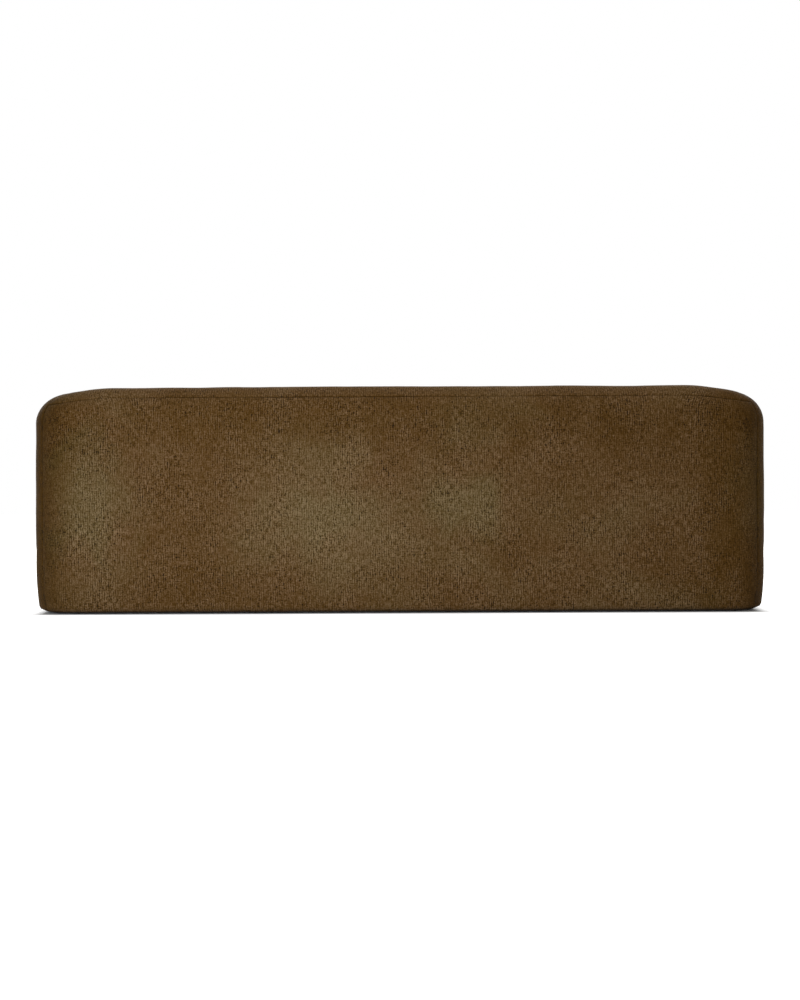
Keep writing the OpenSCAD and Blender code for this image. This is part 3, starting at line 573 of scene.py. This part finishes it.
def build_deck():
    """The platform cloth, stretched over its pad between the arms, the border and the back."""
    half, low_y, high_y = ARM_IN - 2 * REST_GAP, DECK_FRONT + REST_GAP, BACK_IN - 2 * REST_GAP
    bm = flat_cloth(half, low_y, high_y, DECK - REST_GAP, DECK_CELLS)
    piece = make_piece("deck_cloth", bm, "frame", PLATFORM_CLOTH, ["deck_cover"])
    points = get_points(piece.data)
    rise = DECK_RISE * smooth(0, DECK_FLAT, points[:, 1] - low_y)
    points[:, 2] += rise * clouds(points, DECK_RISE_WIDE, SEEDS["deck_cloth"]) ** 2
    set_points(piece.data, points)
    thicken(piece, DECK_T)


def build_dust_sheet():
    """The thin black cloth under the sofa, stretched flat inside the hem."""
    half, low_y, high_y = HALF_W - DUST_IN, FRONT + DUST_IN, REAR - DUST_IN
    bm = flat_cloth(half, low_y, high_y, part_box("dust_cover")[1].z, DUST_CELLS)
    piece = make_piece("dust_sheet", bm, "frame", SPUNBOND, ["dust_cover"])
    points = get_points(piece.data)
    x, y = np.abs(points[:, 0]), points[:, 1]
    rear_r = REAR_R - DUST_IN
    front_r = FRONT_R - DUST_IN
    x, y = round_corner(x, y, (half - rear_r, high_y - rear_r), (1, 1), rear_r)
    x, y = round_corner(x, y, (half - front_r, low_y + front_r), (1, -1), front_r)
    points[:, 2] -= DUST_SAG * (0.5 + 0.5 * clouds(points, DUST_SAG_WIDE, SEEDS["dust_sheet"]))
    set_points(piece.data, np.stack([np.sign(points[:, 0]) * x, y, points[:, 2]], axis=1))
    thicken(piece, DUST_T)


# The cushions

def round_box(points, low, high, radius):
    """Rounds the edges of a sharp box."""
    core = np.clip(points, low + radius, high - radius)
    out = points - core
    length = np.linalg.norm(out, axis=1, keepdims=True)
    return core + out / np.maximum(length, NOT_ZERO) * radius


def soft_limit(value, limit, give):
    """Eases values up to a limit that they never pass."""
    over = np.maximum(value - (limit - give), 0)
    return np.where(value > limit - give, limit - give * np.exp(-over / give), value)


def swell(piece, pins):
    """Blows a cushion up with a cloth simulation, holding its seams, and returns its new points."""
    scene = bpy.context.scene
    group = piece.vertex_groups.new(name="seams")
    group.add([int(i) for i in np.nonzero(pins)[0]], 1.0, "REPLACE")
    cloth = piece.modifiers.new("swell", "CLOTH")
    settings = cloth.settings
    settings.quality = 4
    settings.mass = 0.3
    settings.tension_stiffness = 12
    settings.compression_stiffness = 12
    settings.shear_stiffness = 4
    settings.bending_stiffness = 0.6
    settings.use_pressure = True
    settings.uniform_pressure_force = SWELL_PRESSURE
    settings.effector_weights.gravity = 0
    settings.vertex_group_mass = group.name
    cloth.collision_settings.use_collision = False
    cloth.point_cache.frame_start = 1
    cloth.point_cache.frame_end = SWELL_FRAMES
    for step in range(1, SWELL_FRAMES + 1):
        scene.frame_set(step)
    evaluated = piece.evaluated_get(bpy.context.evaluated_depsgraph_get())
    points = get_points(evaluated.data)
    piece.modifiers.remove(cloth)
    piece.vertex_groups.remove(group)
    scene.frame_set(1)
    return points


def to_panel_seams(block, low, high, axis, to_rim):
    """Distance of a block's points to the seams round the two panels that face along an axis. On a panel it
    is the distance to its rim, which is given."""
    to_panel = np.minimum(np.abs(block[:, axis] - high[axis]), np.abs(block[:, axis] - low[axis]))
    return np.where(to_panel < SAME, to_rim, to_panel)


def crown_seat(block, points, low, high):
    """Crowns a seat cushion's top in front of the back cushion, and returns the distance to its seams."""
    half = (high - low) / 2
    u, v, w = ((block - (low + high) / 2) / half).T
    along = smooth(-1, CROWN_FULL_FROM, v) * (1 - smooth(CROWN_FULL_TO, CROWN_END, v))
    points[:, 2] += SEAT_CROWN * (1 - u ** 4) * along * (w > ON_FACE)
    return to_panel_seams(block, low, high, 2, np.minimum(1 - np.abs(u), 1 - np.abs(v)) * half[0])


def crown_back(block, points, low, high):
    """Crowns a back cushion's front and draws its ends in, and returns the distance to its seams."""
    half = (high - low) / 2
    u, v, w = ((block - (low + high) / 2) / half).T
    points[:, 1] -= BACK_CROWN * (1 - u ** 4) * (1 - w ** 2) * (v < -ON_FACE)
    points[:, 0] -= np.sign(u) * BACK_ENDS_IN * (1 - w ** 2) * (np.abs(u) > ON_FACE)
    to_rim = np.minimum((1 - np.abs(u)) * half[0], (1 - np.abs(w)) * half[2])
    return to_panel_seams(block, low, high, 1, to_rim)


def rest_in_place(points, low, high, is_seat):
    """Keeps a cushion clear of its neighbours, and flat below and where a back cushion stands on it."""
    middle_x = (low[0] + high[0]) / 2
    half_x = (high[0] - low[0]) / 2 - REST_GAP
    offset = points[:, 0] - middle_x
    points[:, 0] = middle_x + np.sign(offset) * soft_limit(np.abs(offset), half_x, SIDE_GIVE)
    points[:, 1] = soft_limit(points[:, 1], high[1] - REST_GAP, REAR_GIVE)
    points[:, 2] = -soft_limit(-points[:, 2], -low[2] - REST_GAP, FLAT_GIVE)
    if is_seat:
        free = 1 - smooth(0, FREE_TO, points[:, 1])
        ceiling = high[2] - REST_GAP + free * FREE_RISE
        points[:, 2] = soft_limit(points[:, 2], ceiling, FLAT_GIVE)


def build_cushion(kind, number):
    """A seat or back cushion: crowned, drawn in at its sides, swollen, seamed and creased."""
    node = f"{kind}_cushion_{SEATS[number]}"
    seed = SEEDS[f"{kind}_cushion"] + CUSHION_STEP * number
    is_seat = kind == "seat"
    low, high = (np.array(v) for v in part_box(f"{node}_cover"))
    if is_seat:
        high[2] = SEAT_TOP - REST_GAP
    smaller = np.array((CUSHION_SMALLER, CUSHION_SMALLER, CUSHION_LOWER))
    block_low, block_high = low + smaller, high - smaller
    bm = cut_block(block_low, block_high, CUSHION_CELL)
    for corner in (block_low, block_high):
        for axis in range(3):
            cut_beside(bm, corner, np.eye(3)[axis], EDGE_CUTS)
    lay_cloth(bm, lambda co, n: (co.y, co.z) if abs(n.x) > 0.5 else (co.x, co.y + co.z))
    replaced = [f"{node}_cover", f"{node}_wrap" if is_seat else f"{node}_fill"]
    piece = make_piece(f"{node}_pad", bm, node, CHENILLE, replaced)
    block = get_points(piece.data)
    points = round_box(block, block_low, block_high, SEAT_EDGE_R if is_seat else BACK_EDGE_R)
    crown = crown_seat if is_seat else crown_back
    to_seam = crown(block, points, block_low, block_high)
    set_points(piece.data, points)
    moved = swell(piece, to_seam < SAME) - points
    length = np.linalg.norm(moved, axis=1, keepdims=True)
    points = points + moved / np.maximum(length, NOT_ZERO) * soft_limit(length, SWELL_CAP, SWELL_CAP / 2)
    set_points(piece.data, points)
    lift = CUSHION_SETTLE * clouds(points, CUSHION_SETTLE_WIDE, seed)
    lift += SMALL_DENT * clouds(points, SMALL_DENT_WIDE, seed + 1)
    lift += seam_marks(points, to_seam, seed + 2)
    lift -= CUSHION_SEAM * np.exp(-(to_seam / CUSHION_SEAM_HALF) ** 2)
    points = points + get_normals(piece.data) * lift[:, None]
    rest_in_place(points, low, high, is_seat)
    set_points(piece.data, points)
    note_seams(piece.data, to_seam)
    rounder = piece.modifiers.new("finer", "SUBSURF")
    rounder.levels = 1
    rounder.render_levels = 1


# Materials

MATHS = "ShaderNodeMath"
RANGE = "ShaderNodeMapRange"
MIX = "ShaderNodeMix"

# Rows of tufts on the chenille, and how a wave texture's scale gives their pitch.
ROW_PITCH = 7 * MM
ROW_SCALE = 2 * math.pi / (20 * ROW_PITCH)

# Where a hand has brushed the pile of the outside back up: the middle and the reach of each stroke.
BRUSHED = [
    ((0.95, 0.47, 0.34), (0.15, 0.30, 0.22)),
    ((0.24, 0.47, 0.29), (0.32, 0.30, 0.16)),
    ((-0.20, 0.47, 0.33), (0.16, 0.30, 0.11)),
]

# Painted shade where the cloth turns away from the light: on both rounded rear corners, more on the left end,
# and in a band below the top seam. The middle and the reach of each place, and how much darker it is.
PAINTED_SHADE_SPOTS = [
    ((1.12, 0.45, 0.35), (0.11, 0.16, 1.0), 0.36),
    ((-1.12, 0.45, 0.35), (0.11, 0.16, 1.0), 0.36),
    ((-0.975, 0.47, 0.35), (0.06, 0.20, 0.6), 0.22),
    ((0.0, 0.47, 0.60), (1.40, 0.25, 0.10), 0.14),
]


def linear(code):
    """The linear RGBA of an sRGB hex value."""
    parts = [int(code[i:i + 2], 16) / 255 for i in (1, 3, 5)]
    return [c / 12.92 if c <= 0.04045 else ((c + 0.055) / 1.055) ** 2.4 for c in parts] + [1]


def add(tree, kind, inputs=(), **settings):
    """Adds a node with its settings. Its inputs come in their order, or by name or number, and are values,
    sockets, or nodes whose first output is linked."""
    node = tree.nodes.new(kind)
    for key, value in settings.items():
        setattr(node, key, value)
    for key, value in inputs.items() if isinstance(inputs, dict) else enumerate(inputs):
        if isinstance(value, bpy.types.Node):
            value = value.outputs[0]
        if isinstance(value, bpy.types.NodeSocket):
            tree.links.new(value, node.inputs[key])
        else:
            node.inputs[key].default_value = value
    return node


def new_material(name, **values):
    """A material with its shader's own values set, such as its roughness."""
    material = bpy.data.materials.new(name)
    material.use_nodes = True
    tree = material.node_tree
    shader = tree.nodes["Principled BSDF"]
    for key, value in values.items():
        shader.inputs[key.replace("_", " ")].default_value = value
    return material, tree, shader


def grain(tree, source, size_mm, detail=2.0, distortion=0.0):
    """Noise whose features have these sizes in millimetres, along the two axes of a cloth or the three of a
    solid."""
    scale = [1000 / size for size in size_mm] + [1] * (3 - len(size_mm))
    place = add(tree, "ShaderNodeMapping", {"Vector": source, "Scale": scale})
    return add(tree, "ShaderNodeTexNoise", {"Vector": place, "Scale": 1.0, "Detail": detail,
                                            "Distortion": distortion})


def finish_colour(tree, shader, colour, light, height, strength, distance):
    """Sets the shader's colour, darkened or lightened by a pattern, and its bump."""
    if isinstance(colour, list):
        colour = colour[:3]
    tone = add(tree, "ShaderNodeVectorMath", {0: colour, "Scale": light}, operation="SCALE")
    tree.links.new(tone.outputs[0], shader.inputs["Base Color"])
    bump = add(tree, "ShaderNodeBump", {"Height": height, "Strength": strength, "Distance": distance})
    tree.links.new(bump.outputs[0], shader.inputs["Normal"])


def stroke_share(tree, coords, wobble, middle, reach):
    """From 0 to 1: how near a point is to the middle of a stroke, whose rim wobbles."""
    scale = [1 / r for r in reach]
    shift = [-m * k for m, k in zip(middle, scale)]
    place = add(tree, "ShaderNodeMapping", {"Vector": coords, "Scale": scale, "Location": shift})
    far = add(tree, "ShaderNodeVectorMath", {0: place}, operation="LENGTH").outputs["Value"]
    rim = add(tree, MATHS, (far, wobble), operation="ADD")
    return add(tree, RANGE, (rim, 0.3, 1.25, 1.0, 0.0))


def weave_tufts(tree, cloth):
    """Light and height of the chenille's tufts. Real warps stand 1.5 mm apart, too fine to show, so tufts
    are drawn about 3.5 mm wide, in rows 7 mm apart that run up the cloth and wander a little."""
    warp = grain(tree, cloth, (3.4, 19), 2.0, 0.3)
    weft = grain(tree, cloth, (15, 3.6), 2.0, 0.3)
    fleck = grain(tree, cloth, (3.5, 4.6), 1.0)
    patch = grain(tree, cloth, (110, 150), 1.0)
    rows = add(tree, "ShaderNodeTexWave", {"Vector": cloth, "Scale": ROW_SCALE, "Distortion": 2.5,
                                           "Detail": 2.0, "Detail Scale": 0.6}).outputs["Fac"]
    lines = add(tree, RANGE, (warp, 0.3, 0.7, -0.55, 0.55))
    for part in (
        add(tree, RANGE, (weft, 0.3, 0.7, -0.3, 0.3)),
        add(tree, RANGE, (fleck, 0.3, 0.48, -0.6, 0.0)),
        add(tree, RANGE, (fleck, 0.52, 0.72, 0.0, 0.5)),
        add(tree, RANGE, (rows, 0.0, 1.0, -0.22, 0.22)),
    ):
        lines = add(tree, MATHS, (lines, part), operation="ADD")
    strength = add(tree, RANGE, (patch, 0.35, 0.65, 0.8, 1.25))
    light = add(tree, MATHS, (lines, strength, 1.0), operation="MULTIPLY_ADD")
    height = add(tree, MATHS, (warp, fleck), operation="ADD")
    return light, height


def make_chenille(name, shade, richness):
    """Brushed chenille: tufted warps with a short pile that lies in cloudy strokes. It gives a dull, warm
    surface with fine upright lines, dark flecks between the tufts, and lighter olive where it is brushed.
    With a shade below 1 it is a darker, richer copy, which paints shade on the arms so that the sofa's ends
    look darker. Both copies also carry painted shade on the rear corners, below the top seam and along the
    seams."""
    material, tree, shader = new_material(name, Roughness=0.9, Specular_IOR_Level=0.12,
                                          Sheen_Weight=0.02, Sheen_Roughness=0.5)
    shader.inputs["Sheen Tint"].default_value = linear("#8f7440")
    coords = add(tree, "ShaderNodeTexCoord").outputs
    place = coords["Object"]
    nap = grain(tree, place, (430, 430, 300), 3.0, 0.4)
    stroke = grain(tree, place, (120, 120, 190), 4.0, 0.8)
    wobble = add(tree, RANGE, (stroke, 0.3, 0.7, -0.4, 0.4))
    brushed = 0.0
    for middle, reach in BRUSHED:
        share = stroke_share(tree, place, wobble, middle, reach)
        brushed = add(tree, MATHS, (share, brushed), operation="MAXIMUM")
    # Brushed pile turns lighter and more olive.
    nap_olive = add(tree, RANGE, (nap, 0.48, 0.75, 0.0, 0.6))
    hand_olive = add(tree, MATHS, (brushed, 0.8), operation="MULTIPLY")
    olive = add(tree, MATHS, (nap_olive, hand_olive), operation="MAXIMUM")
    browns = {0: stroke, 6: linear("#523b20"), 7: linear("#5a442a")}
    brown = add(tree, MIX, browns, data_type="RGBA").outputs[2]
    colour = add(tree, MIX, {0: olive, 6: brown, 7: linear("#5a4b2f")}, data_type="RGBA").outputs[2]
    # The light of the tufts changes with the nap and the strokes. Painted shade darkens it on the arms' copy,
    # on the rear corners, below the top seam and along the seams.
    light, height = weave_tufts(tree, coords["UV"])
    changes = [
        add(tree, RANGE, (nap, 0.3, 0.7, 0.88, 1.1)),
        add(tree, RANGE, (stroke, 0.3, 0.7, 0.93, 1.07)),
        add(tree, RANGE, (brushed, 0.0, 1.0, 0.98 * shade, 1.12 * shade)),
    ]
    small_wobble = add(tree, MATHS, (wobble, 0.5), operation="MULTIPLY")
    # Painted shade on the rear corners and below the top seam.
    for middle, reach, darker in PAINTED_SHADE_SPOTS:
        share = stroke_share(tree, place, small_wobble, middle, reach)
        changes.append(add(tree, RANGE, (share, 0.0, 1.0, 1.0, 1 - darker)))
    # Painted shade along the seams' grooves.
    seam = add(tree, "ShaderNodeAttribute", attribute_name="seam_nearness").outputs["Fac"]
    changes.append(add(tree, RANGE, (seam, 0.5, 0.9, 1.0, 0.6)))
    for change in changes:
        light = add(tree, MATHS, (light, change), operation="MULTIPLY")
    # Darker places turn warmer and deeper: the shade between the tufts, and the painted shade as well.
    depth = add(tree, RANGE, (light, 0.5, 1.4, 1.25 * richness, 0.9 * richness))
    colour = add(tree, "ShaderNodeHueSaturation", {"Color": colour, "Saturation": depth})
    finish_colour(tree, shader, colour, light, height, 0.55, 1.4 * MM)
    return material


def make_platform_cloth():
    """Plain woven platform cloth: an even matt weave in the sofa's brown."""
    material, tree, shader = new_material("plain_woven_cotton", Roughness=0.9, Specular_IOR_Level=0.2)
    cloth = add(tree, "ShaderNodeTexCoord").outputs["UV"]
    # Real threads stand 0.8 mm apart, too fine to show, so they are drawn 4 mm apart.
    warp = add(tree, RANGE, (grain(tree, cloth, (4, 40)), 0.3, 0.7, 0.4, 0.6))
    weft = add(tree, RANGE, (grain(tree, cloth, (40, 4)), 0.3, 0.7, 0.4, 0.6))
    weave = add(tree, MATHS, (warp, weft), operation="ADD")
    finish_colour(tree, shader, linear("#4a3823"), weave, weave, 0.4, 0.6 * MM)
    return material


def make_spunbond():
    """Spunbonded polypropylene: thin black cloth with pressed dots that catch a little light."""
    material, tree, shader = new_material("spunbonded_polypropylene", Roughness=0.65)
    cloth = add(tree, "ShaderNodeTexCoord").outputs["UV"]
    # Real dots stand 1.5 mm apart, too fine to show, so they are drawn 5 mm apart.
    dots = add(tree, "ShaderNodeTexVoronoi", {"Vector": cloth, "Scale": 200.0, "Randomness": 0.15})
    pressed = add(tree, RANGE, (dots, 0.2, 0.45, 1.5, 0.9))
    fibres = add(tree, RANGE, (grain(tree, cloth, (9, 9), 4.0), 0.3, 0.7, 0.8, 1.2))
    light = add(tree, MATHS, (pressed, fibres), operation="MULTIPLY")
    finish_colour(tree, shader, linear("#232323"), light, pressed, 0.4, 0.4 * MM)
    return material


def make_wood(name, pale, dark, along, ring_mm):
    """Sawn or planed wood whose grain runs along one axis: 0, 1 or 2 for X, Y or Z."""
    material, tree, shader = new_material(name, Roughness=0.6)
    coords = add(tree, "ShaderNodeTexCoord").outputs["Object"]
    ring_size = [ring_mm] * 3
    ring_size[along] = 60 * ring_mm
    fibre_size = [1.5] * 3
    fibre_size[along] = 90
    rings = add(tree, RANGE, (grain(tree, coords, ring_size, 3.0, 0.4), 0.35, 0.65, 0.0, 1.0))
    fibre = grain(tree, coords, fibre_size)
    colour = add(tree, MIX, {0: rings, 6: linear(pale), 7: linear(dark)}, data_type="RGBA").outputs[2]
    light = add(tree, RANGE, (fibre, 0.3, 0.7, 0.88, 1.1))
    finish_colour(tree, shader, colour, light, fibre, 0.25, 0.3 * MM)
    return material


def make_fibreboard():
    """Hard fibreboard: pressed brown fibres, smooth and slightly mottled."""
    material, tree, shader = new_material("pressed_fibreboard", Roughness=0.7)
    coords = add(tree, "ShaderNodeTexCoord").outputs["Object"]
    mottle = grain(tree, coords, (6, 6, 6), 5.0)
    browns = {0: mottle, 6: linear("#7a5a38"), 7: linear("#9a7850")}
    colour = add(tree, MIX, browns, data_type="RGBA").outputs[2]
    light = add(tree, RANGE, (grain(tree, coords, (90, 90, 90)), 0.3, 0.7, 0.92, 1.08))
    finish_colour(tree, shader, colour, light, mottle, 0.2, 0.2 * MM)
    return material


def make_webbing():
    """Elastic webbing: dark rubber cores in a ribbed polyester weave, across the back frame."""
    material, tree, shader = new_material("woven_elastic_webbing", Roughness=0.8)
    coords = add(tree, "ShaderNodeTexCoord").outputs["Object"]
    # Real ribs stand 2 mm apart and are drawn 4 mm apart.
    ribs = add(tree, RANGE, (grain(tree, coords, (40, 40, 4)), 0.3, 0.7, 0.3, 0.7))
    cross = add(tree, RANGE, (grain(tree, coords, (3, 40, 30)), 0.3, 0.7, 0.4, 0.6))
    weave = add(tree, MATHS, (ribs, cross), operation="ADD")
    finish_colour(tree, shader, linear("#3a3a3c"), weave, weave, 0.5, 0.6 * MM)
    return material


def make_felt():
    """Needled felt: matted grey fibres with a mottled, fuzzy surface."""
    material, tree, shader = new_material("needled_felt", Roughness=0.95, Specular_IOR_Level=0.2)
    coords = add(tree, "ShaderNodeTexCoord").outputs["Object"]
    fuzz = grain(tree, coords, (5, 5, 5), 6.0, 0.6)
    greys = {0: fuzz, 6: linear("#6f7172"), 7: linear("#a9abac")}
    colour = add(tree, MIX, greys, data_type="RGBA").outputs[2]
    light = add(tree, RANGE, (grain(tree, coords, (60, 60, 60)), 0.3, 0.7, 0.9, 1.1))
    finish_colour(tree, shader, colour, light, fuzz, 0.6, 1.2 * MM)
    return material


def make_foam():
    """Cut polyurethane foam: pale yellow open cells with a dry, porous face."""
    material, tree, shader = new_material("polyurethane_foam", Roughness=0.9, Specular_IOR_Level=0.3)
    coords = add(tree, "ShaderNodeTexCoord").outputs["Object"]
    # Real cells are 0.6 mm wide and are drawn 3 mm wide.
    cells = add(tree, "ShaderNodeTexVoronoi", {"Vector": coords, "Scale": 333.0})
    yellows = {0: grain(tree, coords, (120, 120, 120)), 6: linear("#ddd0a2"), 7: linear("#ece3c2")}
    colour = add(tree, MIX, yellows, data_type="RGBA").outputs[2]
    light = add(tree, RANGE, (cells, 0.0, 0.6, 0.86, 1.04))
    finish_colour(tree, shader, colour, light, cells, 0.4, 0.8 * MM)
    return material


def make_steel(name, colour, roughness, streak_mm):
    """Steel with fine streaks or spangle in its gloss."""
    material, tree, shader = new_material(name, Metallic=1.0)
    coords = add(tree, "ShaderNodeTexCoord").outputs["Object"]
    streaks = grain(tree, coords, streak_mm, 3.0)
    gloss = add(tree, RANGE, (streaks, 0.3, 0.7, roughness - 0.08, roughness + 0.08))
    tree.links.new(gloss.outputs[0], shader.inputs["Roughness"])
    light = add(tree, RANGE, (streaks, 0.3, 0.7, 0.85, 1.1))
    finish_colour(tree, shader, linear(colour), light, streaks, 0.1, 0.1 * MM)
    return material


def make_plastic():
    """Moulded polypropylene: dark, slightly waxy, with a finely eroded mould texture."""
    material, tree, shader = new_material("moulded_polypropylene", Roughness=0.5)
    coords = add(tree, "ShaderNodeTexCoord").outputs["Object"]
    erosion = grain(tree, coords, (1.2, 1.2, 1.2), 3.0)
    light = add(tree, RANGE, (erosion, 0.3, 0.7, 0.85, 1.2))
    finish_colour(tree, shader, linear("#1d1d1f"), light, erosion, 0.2, 0.1 * MM)
    return material


def finish_frame():
    """Gives every CAD node that stays its material."""
    pine = [make_wood(f"planed_pine_{axis}", "#dfc191", "#c39860", i, 7) for i, axis in enumerate("xyz")]
    birch = [make_wood(f"birch_plywood_{axis}", "#d3ae7a", "#bb9260", i, 11) for i, axis in enumerate("xyz")]
    felt = make_felt()
    finishes = {
        "fibreboard": make_fibreboard(),
        "webbing": make_webbing(),
        "felt": felt,
        "fibre": felt,
        "foam": make_foam(),
        "spring_steel": make_steel("drawn_spring_steel", "#8d9094", 0.38, (6, 1, 1)),
        "zinc_steel": make_steel("zinc_plated_steel", "#c9ccd0", 0.32, (4, 4, 4)),
        "glide_plastic": make_plastic(),
        "upholstery_cloth": CHENILLE,
        "cushion_cloth": CHENILLE,
        "platform_cloth": PLATFORM_CLOTH,
        "dust_cloth": SPUNBOND,
    }
    for row in frame["record"]["subparts"]:
        node = NODES[row["node"]]
        size = [b - a for a, b in zip(*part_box(row["node"]))]
        if row["node"].endswith(("end_rails", "cross_rails")):
            along = 1
        elif row["node"].endswith(("posts", "blocks", "ribs", "formers")):
            along = 2
        else:
            along = size.index(max(size))
        slot = row["material_slot"]
        if slot == "softwood":
            material = pine[along]
        elif slot == "plywood":
            material = birch[along]
        else:
            material = finishes[slot]
        for place in node.material_slots:
            place.material = material


# Camera, light and floor

# The camera looks square at the outside back and is turned by a hair.
CAMERA = (0, 4.475, 0.35)
CAMERA_ROLL = math.radians(0.25)
LENS = 46.9

# Soft lamps that look at the sofa's middle: place, size, power and colour.
LAMP_AIM = Vector((0, 0, 0.4))
LAMPS = {
    "key": ((0.8, 2.7, 0.35), 1.0, 41, "#e8f0ff"),
    "fill": ((0.3, 5.0, 1.4), 2.4, 68, "#fffaf0"),
    "overhead": ((0.0, 0.2, 4.0), 2.5, 70, "#ffffff"),
    "front_left": ((-3.2, -4.8, 2.4), 3.0, 180, "#ffffff"),
    "front_right": ((3.3, -4.8, 2.2), 3.0, 220, "#ffffff"),
}
SOFT_LIGHT = "#fff6e4"
SOFT_STRENGTH = 0.12
WHITE = (1, 1, 1, 1)

# The floor is lifted to white for the camera alone, and less so at the sofa's foot.
FLOOR_HALF = 30
FLOOR_GREY = "#d6d6d6"
FLOOR_LIFT = 0.95
LIFT_FROM = -40 * MM
LIFT_FULL = 15 * MM


def build_camera():
    """The camera of the photograph's view."""
    data = bpy.data.cameras.new("camera")
    data.lens = LENS
    camera = bpy.data.objects.new("camera", data)
    bpy.context.scene.collection.objects.link(camera)
    camera.location = CAMERA
    camera.rotation_euler = (math.pi / 2, CAMERA_ROLL, math.pi)
    bpy.context.scene.camera = camera


def seen_directly(tree):
    """1 where the camera, or a reflection or glass in its view, looks straight at a surface."""
    path = add(tree, "ShaderNodeLightPath").outputs
    seen = add(tree, MATHS, (path["Is Camera Ray"], path["Is Glossy Ray"]), operation="MAXIMUM")
    return add(tree, MATHS, (seen, path["Is Transmission Ray"]), operation="MAXIMUM")


def build_backdrop():
    """A backdrop that is white to the eye and gives a little warm light."""
    world = bpy.data.worlds.new("studio")
    bpy.context.scene.world = world
    world.use_nodes = True
    tree = world.node_tree
    tree.nodes.clear()
    soft = add(tree, "ShaderNodeBackground", {"Color": linear(SOFT_LIGHT), "Strength": SOFT_STRENGTH})
    white = add(tree, "ShaderNodeBackground", {"Color": WHITE, "Strength": 1.0})
    mix = add(tree, "ShaderNodeMixShader", (seen_directly(tree), soft, white))
    add(tree, "ShaderNodeOutputWorld", {"Surface": mix})


def build_lamps():
    """The soft lamps, of which the key is the nearest."""
    for name, (place, size, power, colour) in LAMPS.items():
        data = bpy.data.lights.new(name, "AREA")
        data.energy = power
        data.size = size
        data.color = linear(colour)[:3]
        lamp = bpy.data.objects.new(name, data)
        lamp.visible_camera = False
        bpy.context.scene.collection.objects.link(lamp)
        lamp.location = place
        lamp.rotation_euler = (LAMP_AIM - Vector(place)).to_track_quat("-Z", "Y").to_euler()


def build_floor():
    """A pale floor that keeps the sofa's shadow."""
    bm = bmesh.new()
    bmesh.ops.create_grid(bm, x_segments=1, y_segments=1, size=FLOOR_HALF)
    mesh = bpy.data.meshes.new("floor")
    bm.to_mesh(mesh)
    bm.free()
    floor = bpy.data.objects.new("floor", mesh)
    bpy.context.scene.collection.objects.link(floor)
    material, tree, shader = new_material("pale_studio_floor", Roughness=0.95)
    shader.inputs["Base Color"].default_value = linear(FLOOR_GREY)
    shader.inputs["Emission Color"].default_value = WHITE
    place = add(tree, "ShaderNodeSeparateXYZ", (add(tree, "ShaderNodeTexCoord").outputs["Object"],)).outputs
    beyond = []
    for axis, edge in ((0, HALF_W), (1, REAR)):
        out = add(tree, MATHS, (place[axis],), operation="ABSOLUTE")
        beyond.append(add(tree, MATHS, (out, edge), operation="SUBTRACT"))
    farther = add(tree, MATHS, beyond, operation="MAXIMUM")
    lift = add(tree, RANGE, (farther, LIFT_FROM, LIFT_FULL, 0.0, FLOOR_LIFT))
    shine = add(tree, MATHS, (seen_directly(tree), lift), operation="MULTIPLY")
    tree.links.new(shine.outputs[0], shader.inputs["Emission Strength"])
    mesh.materials.append(material)


CHENILLE = make_chenille("brushed_chenille", 1.0, 1.0)
# The arms wear a darker, richer copy of the chenille: painted shade for the sofa's ends.
SHADED_ARM_CHENILLE = make_chenille("brushed_chenille_painted_shade", 0.88, 1.03)
PLATFORM_CLOTH = make_platform_cloth()
SPUNBOND = make_spunbond()
bpy.context.scene.view_settings.view_transform = "Standard"
build_camera()
build_backdrop()
build_lamps()
build_floor()
finish_frame()
build_back()
build_arm("left", -1)
build_arm("right", 1)
build_border()
build_deck()
build_dust_sheet()
for number in range(len(SEATS)):
    build_cushion("seat", number)
    build_cushion("back", number)
